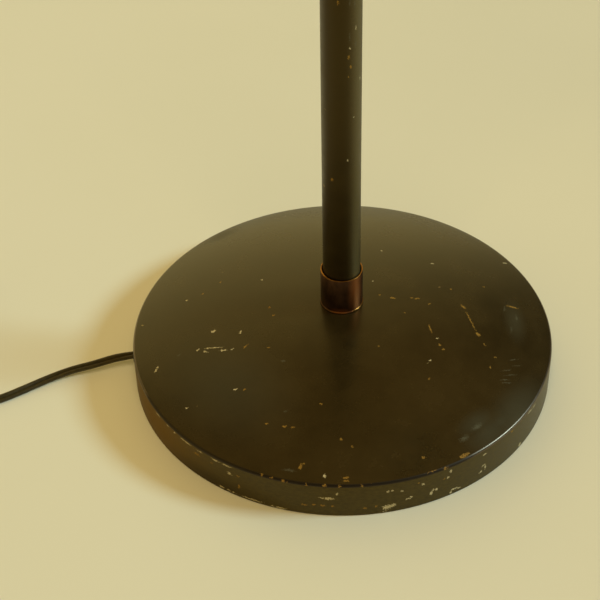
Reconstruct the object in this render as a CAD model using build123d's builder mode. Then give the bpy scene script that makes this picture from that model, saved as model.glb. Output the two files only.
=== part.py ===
"""Swing-arm floor lamp: weighted domed base, tubular stem, swinging arm and tilting shade.

Millimetres. The origin is the middle of the base on the floor and Z is up. At rest the arm lies
along +X with the shade facing the floor, and the mains cord leaves the base along -X.
"""

import math
import os

from build123d import *

# Base: a spun steel cover over a cast ballast, with a felt pad below
BASE_DIAMETER = 292.0
RIM_HEIGHT = 28.0
CROWN_HEIGHT = 56.5
CROWN_SEAT_RADIUS = 15.2
RIM_EDGE_RADIUS = 2.0
COVER_WALL = 1.2
COVER_LIFT = 0.8
FELT_THICKNESS = 2.0
FELT_MARGIN = 1.5
BALLAST_THICKNESS = 13.0
BALLAST_BOSS_FOOT_RADIUS = 34.0
NUT_POCKET_RADIUS = 12.5
NUT_POCKET_DEPTH = 38.0

# Hollow tie rod that clamps base and stem together
ROD_DIAMETER = 9.8
ROD_BORE = 7.0
ROD_TAIL = 9.0
ROD_THREAD = 14.0
ROD_WASHER_DIAMETER = 22.0
ROD_WASHER_THICKNESS = 2.0
ROD_NUT_FLATS = 16.0
ROD_NUT_HEIGHT = 7.0

# Stem, with a copper ferrule at its foot and a copper collar at its top
STEM_DIAMETER = 25.4
STEM_WALL = 1.25
STEM_TOP = 1190.0
STEM_FOOT_FLANGE = 2.5
STEM_FOOT_SPIGOT = 16.0
FERRULE_DIAMETER = 28.8
FERRULE_WALL = 0.8
FERRULE_HEIGHT = 28.8
FERRULE_BEAD = 0.5
FERRULE_BEAD_HEIGHT = 1.6
COLLAR_DIAMETER = 28.8
COLLAR_HEIGHT = 24.0

# Swivel that the arm swings on
POST_SPIGOT = 18.0
POST_FLANGE = 4.0
JOURNAL_DIAMETER = 16.0
POST_THREAD_DIAMETER = 14.0
POST_THREAD_TAIL = 1.0
POST_BORE = 8.0
SWIVEL_WASHER_THICKNESS = 1.0
SWIVEL_NUT_FLATS = 19.0
SWIVEL_NUT_HEIGHT = 5.0
STOP_SCREW_DIAMETER = 2.8
STOP_GROOVE_DEPTH = 2.0
STOP_GROOVE_WIDTH = 3.2
SWING_LIMIT = 160.0

# Hub and arm
HUB_DIAMETER = 30.0
HUB_FLOOR = 13.0
HUB_CHAMBER_DIAMETER = 24.0
HUB_CHAMBER_HEIGHT = 26.5
HUB_CAP_SPIGOT = 4.0
HUB_CAP_BRIM = 2.0
HUB_CAP_DOME = 7.0
ARM_DIAMETER = 12.7
ARM_WALL = 1.2
ARM_BOSS_DIAMETER = 19.0
ARM_BOSS_END = 26.0
ARM_SHOULDER = 14.0
ARM_FLEX_BEND = 8.0
ARM_REACH = 314.0

# Tilting swivel: two cupped discs, one on the arm and one on the head, and a clamp screw
KNUCKLE_RADIUS = 13.0
KNUCKLE_DEPTH = 9.9
KNUCKLE_END_WALL = 3.0
KNUCKLE_RING = 3.5
KNUCKLE_BOSS_RADIUS = 4.5
KNUCKLE_NECK_RADIUS = 5.2
KNUCKLE_COLLAR_RADIUS = 7.0
KNUCKLE_COLLAR_LENGTH = 4.0
KNUCKLE_TAPER = 6.0
KNUCKLE_LENGTH = 24.0
KNUCKLE_SPIGOT = 18.0
CLAMP_SCREW_DIAMETER = 5.0
CLAMP_SCREW_REACH = 6.5
CLAMP_KNOB_DIAMETER = 17.0
CLAMP_KNOB_LENGTH = 10.0
KNOB_FLUTES = 14
KNOB_FLUTE_RADIUS = 1.2
KNOB_TAPER = 5.0
KNOB_EDGE = 0.8

# Head: socket cup, shade, lampholder, turn switch and bulb
NIPPLE_LENGTH = 16.0
CUP_RADIUS = 23.0
CUP_HEIGHT = 56.0
CUP_WALL = 1.0
CUP_TOP_FILLET = 6.0
CUP_FLANGE_RADIUS = 29.0
SHADE_RADIUS = 115.0
SHADE_CROWN_RADIUS = 30.0
SHADE_LIP = 22.0
SHADE_WALL = 1.0
SHADE_HEM_HEIGHT = 3.2
SHADE_HEM_WALL = 1.0
VENT_COUNT = 8
VENT_LENGTH = 14.0
VENT_WIDTH = 4.0
VENT_DROP = 15.0
HOLDER_RADIUS = 16.8
HOLDER_CAP_WALL = 0.8
HOLDER_CAP_COLLAR_RADIUS = 7.5
HOLDER_CAP_COLLAR_HEIGHT = 5.0
HOLDER_CAP_SLOPE = 9.0
HOLDER_CAP_SKIRT = 10.0
HOLDER_SHELL_WALL = 0.6
HOLDER_SHELL_OVERLAP = 8.0
HOLDER_LENGTH = 54.0
HOLDER_LINER_WALL = 0.8
HOLDER_LINER_STEP = 1.0
HOLDER_BODY_HEIGHT = 18.0
SCREW_SHELL_WALL = 0.5
SCREW_SHELL_LENGTH = 17.0
CONTACT_RADIUS = 4.0
CONTACT_THICKNESS = 1.5
KEY_SHAFT_DIAMETER = 5.0
KEY_SHAFT_DEPTH = 8.0
KEY_RISE = 6.0
KEY_HOLE_MARGIN = 1.6
KEY_KNOB_DIAMETER = 13.0
KEY_KNOB_LENGTH = 12.0
KEY_KNOB_STANDOFF = 1.2
KEY_FLUTES = 10
BULB_CAP_RADIUS = 13.1
BULB_CAP_LENGTH = 24.0
BULB_CAP_WALL = 0.6
BULB_TIP_HEIGHT = 3.0
BULB_TIP_RADIUS = 4.5
BULB_RADIUS = 30.0
BULB_GLASS_LENGTH = 80.0
BULB_THROAT_LENGTH = 12.0
BULB_GLASS_WALL = 0.8

# Mains cord: flat twin flex, a neat two-layer coil held by a tie, and a two-blade plug
CORD_WIDTH = 5.8
CORD_THICKNESS = 2.9
CORD_EXIT_HEIGHT = 10.5
CORD_FLOOR_LIFT = 0.2
BUSHING_FLANGE_DIAMETER = 11.6
BUSHING_FLANGE_THICKNESS = 1.2
BUSHING_EDGE = 0.5
BUSHING_BARREL_DIAMETER = 8.2
BUSHING_BARREL_LENGTH = 6.0
BASE_FLEX_BEND = 14.0
COIL_CENTRE = (-318.0, 9.0)
COIL_INNER_RADIUS = 23.5
COIL_PITCH = 6.4
COIL_LAYER_STEP = 3.8
COIL_TURNS_IN = 4.0
COIL_TURNS_UP = 0.5
COIL_TURNS_OUT = 3.75
TIE_THICKNESS = 0.8
TIE_WIDTH = 6.0
TIE_SLACK = 0.6
TIE_CORNER = 1.6
TIE_ANGLE = 45.0
PLUG_WIDTH = 24.0
PLUG_HEIGHT = 12.0
PLUG_LENGTH = 26.0
PLUG_HEEL_WIDTH = 11.0
PLUG_HEEL_HEIGHT = 8.0
PLUG_HEEL_LENGTH = 13.0
PLUG_HEEL_CORNER = 2.5
PLUG_CORNER = 3.5
PLUG_EDGE = 1.0
PLUG_BACK = (-306.0, 80.0)
BLADE_SPACING = 12.7
BLADE_LENGTH = 16.0
BLADE_WIDTH = 6.3
BLADE_THICKNESS = 1.5
BLADE_TIP = 1.4
BLADE_HOLE_DIAMETER = 3.2
BLADE_HOLE_SETBACK = 5.0

# Small chamfer on the edges of turned pieces
EDGE_BREAK = 0.8

# Clearances
SEATED = 0.05
LOOSE = 0.2
FACE_GAP = 0.1
SWEPT = 0.3

ON_BASE = (Align.CENTER, Align.CENTER, Align.MIN)
BEHIND = (Align.CENTER, Align.CENTER, Align.MAX)

# Levels and radii that several pieces share
base_radius = BASE_DIAMETER / 2
cover_bore = base_radius - COVER_WALL
crown_underside = CROWN_HEIGHT - COVER_WALL
pocket_ceiling = FELT_THICKNESS + NUT_POCKET_DEPTH
rod_washer_level = pocket_ceiling - ROD_WASHER_THICKNESS
rod_nut_level = rod_washer_level - ROD_NUT_HEIGHT
rod_foot = pocket_ceiling - ROD_WASHER_THICKNESS - ROD_TAIL
stem_radius = STEM_DIAMETER / 2
stem_bore = stem_radius - STEM_WALL
stem_level = CROWN_HEIGHT + STEM_FOOT_FLANGE
ferrule_bore = FERRULE_DIAMETER / 2 - FERRULE_WALL
post_foot = STEM_TOP - POST_SPIGOT
post_shelf = STEM_TOP + POST_FLANGE
rod_top = post_foot + ROD_THREAD
journal_radius = JOURNAL_DIAMETER / 2
hub_radius = HUB_DIAMETER / 2
hub_level = post_shelf + SWIVEL_WASHER_THICKNESS + FACE_GAP
hub_floor_top = hub_level + HUB_FLOOR
hub_top = hub_floor_top + HUB_CHAMBER_HEIGHT
swivel_nut_level = hub_floor_top + FACE_GAP
post_top = swivel_nut_level + SWIVEL_NUT_HEIGHT + POST_THREAD_TAIL
stop_level = hub_level + HUB_FLOOR / 2
arm_flex_foot = post_top + SWEPT
arm_level = arm_flex_foot + ARM_FLEX_BEND
arm_radius = ARM_DIAMETER / 2
arm_bore = arm_radius - ARM_WALL
arm_end = ARM_REACH - KNUCKLE_LENGTH
flex_bore = ROD_BORE / 2
knob_slope = math.tan(math.radians(KNOB_TAPER))
shade_seat = arm_level - KNUCKLE_LENGTH - KNUCKLE_COLLAR_LENGTH / 2
cup_bore = CUP_RADIUS - CUP_WALL
cup_foot = shade_seat - CUP_HEIGHT
shade_dome_radius = SHADE_RADIUS - SHADE_CROWN_RADIUS
shade_lip_top = cup_foot - shade_dome_radius
shade_mouth = shade_lip_top - SHADE_LIP
holder_top = shade_seat - CUP_WALL
holder_skirt_foot = holder_top - HOLDER_CAP_COLLAR_HEIGHT - HOLDER_CAP_SLOPE - HOLDER_CAP_SKIRT
holder_shell_top = holder_skirt_foot + HOLDER_SHELL_OVERLAP
holder_mouth = holder_top - HOLDER_LENGTH
holder_shell_radius = HOLDER_RADIUS - HOLDER_CAP_WALL - SEATED
holder_liner_radius = holder_shell_radius - HOLDER_SHELL_WALL - SEATED
holder_liner_bore = holder_liner_radius - HOLDER_LINER_WALL
holder_body_radius = holder_liner_bore - SEATED
holder_body_top = holder_shell_top - HOLDER_LINER_STEP
holder_body_foot = holder_body_top - HOLDER_BODY_HEIGHT
key_level = holder_body_foot + KEY_RISE
screw_shell_bore = BULB_CAP_RADIUS + LOOSE
bulb_top = holder_body_foot - CONTACT_THICKNESS - FACE_GAP
bulb_cap_foot = bulb_top - BULB_CAP_LENGTH
bulb_cap_bore = BULB_CAP_RADIUS - BULB_CAP_WALL
bulb_throat_top = bulb_cap_foot + BULB_THROAT_LENGTH
bulb_widest = bulb_cap_foot - BULB_GLASS_LENGTH + BULB_RADIUS
cord_rest = CORD_FLOOR_LIFT + CORD_THICKNESS / 2
coil_level = CORD_FLOOR_LIFT + TIE_THICKNESS + FACE_GAP + CORD_THICKNESS / 2
coil_outer_radius = COIL_INNER_RADIUS + COIL_PITCH * COIL_TURNS_IN
plug_level = CORD_FLOOR_LIFT + PLUG_HEIGHT / 2
bushing_face = base_radius + BUSHING_FLANGE_THICKNESS
cord_area = (CORD_WIDTH - CORD_THICKNESS) * CORD_THICKNESS + math.pi * CORD_THICKNESS**2 / 4

# Planes and axes of the pieces that do not stand on the stem
arm_axis = Axis((0, 0, arm_level), (1, 0, 0))
arm_outline = Plane(origin=(0, 0, arm_level), x_dir=(1, 0, 0), z_dir=(0, -1, 0))
head_axis = Axis((ARM_REACH, 0, 0), (0, 0, 1))
head_outline = Plane(origin=(ARM_REACH, 0, 0), x_dir=(1, 0, 0), z_dir=(0, -1, 0))
arm_disc_face = Plane(origin=(ARM_REACH, -FACE_GAP, arm_level), x_dir=(1, 0, 0), z_dir=(0, -1, 0))
head_disc_face = Plane(origin=(ARM_REACH, FACE_GAP, arm_level), x_dir=(1, 0, 0), z_dir=(0, 1, 0))
key_plane = Plane(origin=(ARM_REACH, 0, key_level), x_dir=(0, 1, 0), z_dir=(1, 0, 0))
bushing_plane = Plane(origin=(-base_radius, 0, CORD_EXIT_HEIGHT), x_dir=(0, 1, 0), z_dir=(-1, 0, 0))
plug_plane = Plane(origin=(*PLUG_BACK, plug_level), x_dir=(0, 1, 0), z_dir=(1, 0, 0))

blade_hole_reach = PLUG_LENGTH + BLADE_LENGTH - BLADE_HOLE_SETBACK
blade_hole_plane = Plane(
    origin=(PLUG_BACK[0] + blade_hole_reach, PLUG_BACK[1], plug_level),
    z_dir=(0, 1, 0),
)

# Felt pad that the lamp rests on
with BuildPart() as felt_pad:
    Cylinder(cover_bore - FELT_MARGIN, FELT_THICKNESS, align=ON_BASE)
felt_pad.part.label = "felt_pad"

# Cast ballast: a plate with a conical boss under the crown, a nut pocket and a slot for the flex
with BuildPart() as base_weight:
    with BuildSketch(Plane.XZ):
        with BuildLine():
            Polyline(
                (NUT_POCKET_RADIUS, FELT_THICKNESS),
                (cover_bore - LOOSE, FELT_THICKNESS),
                (cover_bore - LOOSE, FELT_THICKNESS + BALLAST_THICKNESS),
                (BALLAST_BOSS_FOOT_RADIUS, FELT_THICKNESS + BALLAST_THICKNESS),
                (CROWN_SEAT_RADIUS - COVER_WALL, crown_underside),
                (ROD_DIAMETER / 2 + LOOSE, crown_underside),
                (ROD_DIAMETER / 2 + LOOSE, pocket_ceiling),
                (NUT_POCKET_RADIUS, pocket_ceiling),
                close=True,
            )
        make_face()
    revolve(axis=Axis.Z)
    with Locations((-base_radius / 2, 0, FELT_THICKNESS)):
        Box(
            base_radius,
            BUSHING_BARREL_DIAMETER + 2 * SWEPT,
            BALLAST_THICKNESS + LOOSE,
            align=ON_BASE,
            mode=Mode.SUBTRACT,
        )
base_weight.part.label = "base_weight"

# Spun cover: upright rim, crisp edge and a shallow spherical dome with a flat seat at its crown
dome_span = base_radius**2 - CROWN_SEAT_RADIUS**2
dome_centre = (CROWN_HEIGHT**2 - RIM_HEIGHT**2 - dome_span) / (2 * (CROWN_HEIGHT - RIM_HEIGHT))
dome_radius = math.hypot(base_radius, RIM_HEIGHT - dome_centre)
with BuildPart() as base_cover:
    for inset, cover_mode in ((0, Mode.ADD), (COVER_WALL, Mode.SUBTRACT)):
        side = base_radius - inset
        crown = CROWN_HEIGHT - inset
        ball = dome_radius - inset
        seat = math.sqrt(ball**2 - (crown - dome_centre) ** 2)
        middle = (side + seat) / 2
        rim = dome_centre + math.sqrt(ball**2 - side**2)
        with BuildSketch(Plane.XZ) as cover_outline:
            with BuildLine():
                Polyline((seat, crown), (0, crown), (0, COVER_LIFT), (side, COVER_LIFT), (side, rim))
                ThreePointArc(
                    (side, rim),
                    (middle, dome_centre + math.sqrt(ball**2 - middle**2)),
                    (seat, crown),
                )
            make_face()
            rim_corner = cover_outline.vertices().sort_by_distance((side, rim))[0]
            fillet(rim_corner, RIM_EDGE_RADIUS - inset)
        revolve(axis=Axis.Z, mode=cover_mode)
    with Locations((0, 0, CROWN_HEIGHT)):
        Hole(ROD_DIAMETER / 2 + LOOSE)
    with Locations(bushing_plane):
        Cylinder(
            BUSHING_BARREL_DIAMETER / 2 + SEATED,
            base_radius / 4,
            mode=Mode.SUBTRACT,
        )
base_cover.part.label = "base_cover"

# Insulating bushing in the rim where the cord leaves
with BuildPart() as cord_bushing:
    with Locations(bushing_plane):
        Cylinder(BUSHING_FLANGE_DIAMETER / 2, BUSHING_FLANGE_THICKNESS, align=ON_BASE)
        Cylinder(BUSHING_BARREL_DIAMETER / 2, BUSHING_BARREL_LENGTH, align=BEHIND)
    chamfer(cord_bushing.edges().filter_by(GeomType.CIRCLE).sort_by(Axis.X)[0], BUSHING_EDGE)
    with BuildSketch(bushing_plane):
        SlotOverall(CORD_WIDTH + 2 * LOOSE, CORD_THICKNESS + 2 * LOOSE)
    extrude(amount=BUSHING_BARREL_LENGTH, both=True, mode=Mode.SUBTRACT)
cord_bushing.part.label = "cord_bushing"

# Hollow rod from the ballast to the swivel post, drawn up by a nut and washer in the pocket
with BuildPart(Plane.XY.offset(rod_foot)) as tie_rod:
    Cylinder(ROD_DIAMETER / 2, rod_top - rod_foot, align=ON_BASE)
    Hole(ROD_BORE / 2)
tie_rod.part.label = "tie_rod"

with BuildPart(Plane.XY.offset(rod_washer_level)) as tie_rod_washer:
    Cylinder(ROD_WASHER_DIAMETER / 2, ROD_WASHER_THICKNESS, align=ON_BASE)
    Hole(ROD_DIAMETER / 2 + LOOSE)
tie_rod_washer.part.label = "tie_rod_washer"

with BuildPart() as tie_rod_nut:
    with BuildSketch(Plane.XY.offset(rod_nut_level)):
        RegularPolygon(ROD_NUT_FLATS / 2, 6, major_radius=False)
        Circle(ROD_DIAMETER / 2 + SEATED, mode=Mode.SUBTRACT)
    extrude(amount=ROD_NUT_HEIGHT)
tie_rod_nut.part.label = "tie_rod_nut"

# Turned foot that centres the stem and the ferrule on the crown
with BuildPart(Plane.XY.offset(CROWN_HEIGHT)) as stem_foot:
    Cylinder(ferrule_bore - SEATED, STEM_FOOT_FLANGE, align=ON_BASE)
    Cylinder(stem_bore - SEATED, STEM_FOOT_FLANGE + STEM_FOOT_SPIGOT, align=ON_BASE)
    Hole(ROD_DIAMETER / 2 + LOOSE)
stem_foot.part.label = "stem_foot"

with BuildPart(Plane.XY.offset(stem_level)) as stem_tube:
    Cylinder(stem_radius, STEM_TOP - stem_level, align=ON_BASE)
    Hole(stem_bore)
stem_tube.part.label = "stem_tube"

# Copper ferrule: a thin sleeve standing a little clear of the stem, beaded at its foot
with BuildPart(Plane.XY.offset(CROWN_HEIGHT)) as stem_ferrule:
    Cylinder(FERRULE_DIAMETER / 2, FERRULE_HEIGHT, align=ON_BASE)
    Cylinder(FERRULE_DIAMETER / 2 + FERRULE_BEAD, FERRULE_BEAD_HEIGHT, align=ON_BASE)
    Hole(ferrule_bore)
    bead_edges = stem_ferrule.edges().filter_by(GeomType.CIRCLE).group_by(SortBy.RADIUS)[-1]
    chamfer(bead_edges, FERRULE_BEAD * 0.6)
stem_ferrule.part.label = "stem_ferrule"

with BuildPart(Plane.XY.offset(post_shelf)) as stem_collar:
    Cylinder(COLLAR_DIAMETER / 2, COLLAR_HEIGHT, align=BEHIND)
    chamfer(stem_collar.edges().filter_by(GeomType.CIRCLE), EDGE_BREAK)
    Hole(stem_radius + SEATED)
stem_collar.part.label = "stem_collar"

# Swivel post: spigot in the stem, shelf, journal with the stop groove, and a threaded end
stop_half_angle = SWING_LIMIT + math.degrees(STOP_GROOVE_WIDTH / 2 / (journal_radius - STOP_GROOVE_DEPTH))
groove_turn = math.radians(180 - stop_half_angle)
groove_outline = Plane(
    origin=(0, 0, stop_level),
    x_dir=(math.cos(groove_turn), math.sin(groove_turn), 0),
    z_dir=(math.sin(groove_turn), -math.cos(groove_turn), 0),
)
with BuildPart() as swivel_post:
    with BuildSketch(Plane.XZ):
        with BuildLine():
            Polyline(
                (ROD_DIAMETER / 2 + SEATED, post_foot),
                (stem_bore - SEATED, post_foot),
                (stem_bore - SEATED, STEM_TOP),
                (stem_radius, STEM_TOP),
                (stem_radius, post_shelf),
                (journal_radius, post_shelf),
                (journal_radius, swivel_nut_level),
                (POST_THREAD_DIAMETER / 2, swivel_nut_level),
                (POST_THREAD_DIAMETER / 2, post_top),
                (POST_BORE / 2, post_top),
                (POST_BORE / 2, rod_top),
                (ROD_DIAMETER / 2 + SEATED, rod_top),
                close=True,
            )
        make_face()
    revolve(axis=Axis.Z)
    with BuildSketch(groove_outline):
        with Locations((journal_radius, 0)):
            Rectangle(2 * STOP_GROOVE_DEPTH, STOP_GROOVE_WIDTH)
    revolve(axis=Axis.Z, revolution_arc=2 * stop_half_angle, mode=Mode.SUBTRACT)
swivel_post.part.label = "swivel_post"

with BuildPart(Plane.XY.offset(post_shelf)) as swivel_washer:
    Cylinder(stem_radius, SWIVEL_WASHER_THICKNESS, align=ON_BASE)
    Hole(journal_radius + LOOSE)
swivel_washer.part.label = "swivel_washer"

with BuildPart() as swivel_nut:
    with BuildSketch(Plane.XY.offset(swivel_nut_level)):
        RegularPolygon(SWIVEL_NUT_FLATS / 2, 6, major_radius=False)
        Circle(POST_THREAD_DIAMETER / 2 + SEATED, mode=Mode.SUBTRACT)
    extrude(amount=SWIVEL_NUT_HEIGHT)
swivel_nut.part.label = "swivel_nut"

# Hub: bearing floor, wiring chamber and a boss that the arm is seated in
with BuildPart() as arm_hub:
    with Locations((0, 0, hub_level)):
        Cylinder(hub_radius, hub_top - hub_level, align=ON_BASE)
    rim_edges = arm_hub.edges().filter_by(GeomType.CIRCLE).group_by(Axis.Z)[0]
    chamfer(rim_edges, EDGE_BREAK)
    with Locations(Plane(origin=(0, 0, arm_level), z_dir=(1, 0, 0))):
        Cylinder(ARM_BOSS_DIAMETER / 2, ARM_BOSS_END, align=ON_BASE)
    chamfer(arm_hub.edges().filter_by(GeomType.CIRCLE).sort_by(Axis.X)[-1], EDGE_BREAK)
    with Locations((0, 0, hub_floor_top)):
        Cylinder(HUB_CHAMBER_DIAMETER / 2, HUB_CHAMBER_HEIGHT, align=ON_BASE, mode=Mode.SUBTRACT)
    with Locations((0, 0, hub_level)):
        Cylinder(journal_radius + SEATED, HUB_FLOOR, align=ON_BASE, mode=Mode.SUBTRACT)
    with Locations(Plane(origin=(0, 0, arm_level), z_dir=(1, 0, 0))):
        Cylinder(arm_bore, ARM_BOSS_END, align=ON_BASE, mode=Mode.SUBTRACT)
    with Locations(Plane(origin=(ARM_SHOULDER, 0, arm_level), z_dir=(1, 0, 0))):
        Cylinder(arm_radius + SEATED, ARM_BOSS_END, align=ON_BASE, mode=Mode.SUBTRACT)
    with Locations(Plane(origin=(0, 0, stop_level), z_dir=(-1, 0, 0))):
        Cylinder(STOP_SCREW_DIAMETER / 2 + SEATED, HUB_DIAMETER, align=ON_BASE, mode=Mode.SUBTRACT)
arm_hub.part.label = "arm_hub"

# Stop screw whose tip runs in the groove of the journal
with BuildPart(Plane(origin=(-hub_radius, 0, stop_level), z_dir=(1, 0, 0))) as stop_screw:
    Cylinder(
        STOP_SCREW_DIAMETER / 2,
        hub_radius - journal_radius + STOP_GROOVE_DEPTH - SWEPT,
        align=ON_BASE,
    )
stop_screw.part.label = "stop_screw"

# Copper cap that closes the wiring chamber
with BuildPart() as arm_hub_cap:
    with BuildSketch(Plane.XZ):
        with BuildLine():
            Polyline(
                (0, hub_top + HUB_CAP_BRIM + HUB_CAP_DOME),
                (0, hub_top - HUB_CAP_SPIGOT),
                (HUB_CHAMBER_DIAMETER / 2 - SEATED, hub_top - HUB_CAP_SPIGOT),
                (HUB_CHAMBER_DIAMETER / 2 - SEATED, hub_top),
                (hub_radius, hub_top),
                (hub_radius, hub_top + HUB_CAP_BRIM),
            )
            RadiusArc(
                (hub_radius, hub_top + HUB_CAP_BRIM),
                (0, hub_top + HUB_CAP_BRIM + HUB_CAP_DOME),
                -(hub_radius**2 + HUB_CAP_DOME**2) / (2 * HUB_CAP_DOME),
            )
        make_face()
    revolve(axis=Axis.Z)
arm_hub_cap.part.label = "arm_hub_cap"

with BuildPart(Plane(origin=(ARM_SHOULDER, 0, arm_level), z_dir=(1, 0, 0))) as arm_tube:
    Cylinder(arm_radius, arm_end - ARM_SHOULDER, align=ON_BASE)
    Hole(arm_bore)
arm_tube.part.label = "arm_tube"

# Arm half of the tilting swivel: spigot, tapered neck and a cupped disc
neck_start = arm_end + KNUCKLE_COLLAR_LENGTH
flex_passage = KNUCKLE_LENGTH + KNUCKLE_SPIGOT - KNUCKLE_BOSS_RADIUS - FACE_GAP
with BuildPart() as arm_knuckle:
    with BuildSketch(arm_outline):
        with BuildLine():
            Polyline(
                (arm_end - KNUCKLE_SPIGOT, 0),
                (arm_end - KNUCKLE_SPIGOT, arm_bore - SEATED),
                (arm_end, arm_bore - SEATED),
                (arm_end, KNUCKLE_COLLAR_RADIUS),
                (neck_start, KNUCKLE_COLLAR_RADIUS),
                (neck_start + KNUCKLE_TAPER, KNUCKLE_NECK_RADIUS),
                (ARM_REACH, KNUCKLE_NECK_RADIUS),
                (ARM_REACH, 0),
                close=True,
            )
        make_face()
    revolve(axis=arm_axis)
    with Locations(arm_disc_face):
        Cylinder(
            KNUCKLE_RADIUS + SWEPT,
            KNUCKLE_RADIUS,
            align=BEHIND,
            mode=Mode.SUBTRACT,
        )
        Cylinder(KNUCKLE_RADIUS, KNUCKLE_DEPTH, align=ON_BASE)
    chamfer(arm_knuckle.edges().filter_by(GeomType.CIRCLE).sort_by(Axis.Y)[0], EDGE_BREAK)
    with BuildSketch(arm_disc_face):
        Circle(KNUCKLE_RADIUS - KNUCKLE_RING)
        Circle(KNUCKLE_BOSS_RADIUS, mode=Mode.SUBTRACT)
    extrude(amount=KNUCKLE_DEPTH - KNUCKLE_END_WALL, mode=Mode.SUBTRACT)
    with Locations(arm_disc_face):
        Hole(CLAMP_SCREW_DIAMETER / 2 + SEATED)
    with Locations(Plane(origin=(arm_end - KNUCKLE_SPIGOT, 0, arm_level), z_dir=(1, 0, 0))):
        Cylinder(flex_bore, flex_passage, align=ON_BASE, mode=Mode.SUBTRACT)
arm_knuckle.part.label = "arm_knuckle"

# Clamp screw of the swivel, with a fluted knob
with BuildPart() as tilt_knob:
    knob_face = arm_disc_face.offset(KNUCKLE_DEPTH + FACE_GAP)
    knob_radius = CLAMP_KNOB_DIAMETER / 2
    with Locations(knob_face):
        Cone(knob_radius, knob_radius - knob_slope * CLAMP_KNOB_LENGTH, CLAMP_KNOB_LENGTH, align=ON_BASE)
    chamfer(tilt_knob.edges().filter_by(GeomType.CIRCLE).sort_by(Axis.Y)[0], KNOB_EDGE)
    with BuildSketch(knob_face):
        with PolarLocations(knob_radius + KNOB_FLUTE_RADIUS / 2, KNOB_FLUTES):
            Circle(KNOB_FLUTE_RADIUS)
    extrude(amount=CLAMP_KNOB_LENGTH, mode=Mode.SUBTRACT)
    with Locations(knob_face):
        Cylinder(
            CLAMP_SCREW_DIAMETER / 2,
            KNUCKLE_DEPTH + 3 * FACE_GAP + CLAMP_SCREW_REACH,
            align=BEHIND,
        )
tilt_knob.part.label = "tilt_knob"

# Head half of the swivel: a matching disc, neck, collar and the nipple that carries the shade
head_neck_foot = shade_seat + KNUCKLE_COLLAR_LENGTH
nipple_foot = shade_seat - NIPPLE_LENGTH
with BuildPart() as head_knuckle:
    with BuildSketch(head_outline):
        with BuildLine():
            Polyline(
                (0, arm_level),
                (KNUCKLE_NECK_RADIUS, arm_level),
                (KNUCKLE_NECK_RADIUS, head_neck_foot + KNUCKLE_TAPER),
                (KNUCKLE_COLLAR_RADIUS, head_neck_foot),
                (KNUCKLE_COLLAR_RADIUS, shade_seat),
                (ROD_DIAMETER / 2, shade_seat),
                (ROD_DIAMETER / 2, nipple_foot),
                (0, nipple_foot),
                close=True,
            )
        make_face()
    revolve(axis=head_axis)
    with Locations(head_disc_face):
        Cylinder(
            KNUCKLE_RADIUS + SWEPT,
            KNUCKLE_RADIUS,
            align=BEHIND,
            mode=Mode.SUBTRACT,
        )
        Cylinder(KNUCKLE_RADIUS, KNUCKLE_DEPTH, align=ON_BASE)
    chamfer(head_knuckle.edges().filter_by(GeomType.CIRCLE).sort_by(Axis.Y)[-1], EDGE_BREAK)
    with BuildSketch(head_disc_face):
        Circle(KNUCKLE_RADIUS - KNUCKLE_RING)
        Circle(KNUCKLE_BOSS_RADIUS, mode=Mode.SUBTRACT)
    extrude(amount=KNUCKLE_DEPTH - KNUCKLE_END_WALL, mode=Mode.SUBTRACT)
    with BuildSketch(head_disc_face):
        Circle(CLAMP_SCREW_DIAMETER / 2 + SEATED)
    extrude(amount=CLAMP_SCREW_REACH + LOOSE, mode=Mode.SUBTRACT)
    with Locations((ARM_REACH, 0, nipple_foot)):
        Cylinder(
            flex_bore,
            arm_level - nipple_foot - KNUCKLE_BOSS_RADIUS - FACE_GAP,
            align=ON_BASE,
            mode=Mode.SUBTRACT,
        )
head_knuckle.part.label = "head_knuckle"

# Socket cup: a spun sleeve round the lampholder, flanged at its foot, with vent slots and a key hole
with BuildPart() as shade_cup:
    for inset, cup_mode in ((0, Mode.ADD), (CUP_WALL, Mode.SUBTRACT)):
        side = CUP_RADIUS - inset
        top = shade_seat - inset
        with BuildSketch(head_outline) as cup_outline:
            with BuildLine():
                Polyline((0, top), (0, cup_foot), (side, cup_foot), (side, top), close=True)
            make_face()
            top_corner = cup_outline.vertices().sort_by_distance((side, top))[0]
            fillet(top_corner, CUP_TOP_FILLET - inset)
        revolve(axis=head_axis, mode=cup_mode)
    with BuildSketch(Plane(origin=(ARM_REACH, 0, cup_foot))):
        Circle(CUP_FLANGE_RADIUS)
        Circle(cup_bore, mode=Mode.SUBTRACT)
    extrude(amount=CUP_WALL)
    with Locations((ARM_REACH, 0, shade_seat)):
        Hole(ROD_DIAMETER / 2 + SEATED)
    for number in range(VENT_COUNT):
        vent_turn = math.radians(360 * (number + 0.5) / VENT_COUNT)
        vent_plane = Plane(
            origin=(ARM_REACH, 0, shade_seat - VENT_DROP),
            x_dir=(0, 0, 1),
            z_dir=(math.cos(vent_turn), math.sin(vent_turn), 0),
        )
        with BuildSketch(vent_plane):
            SlotOverall(VENT_LENGTH, VENT_WIDTH)
        extrude(amount=CUP_RADIUS + CUP_WALL, mode=Mode.SUBTRACT)
    with BuildSketch(key_plane):
        Circle(KEY_SHAFT_DIAMETER / 2 + KEY_HOLE_MARGIN)
    extrude(amount=CUP_RADIUS + CUP_WALL, mode=Mode.SUBTRACT)
shade_cup.part.label = "shade_cup"

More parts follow.
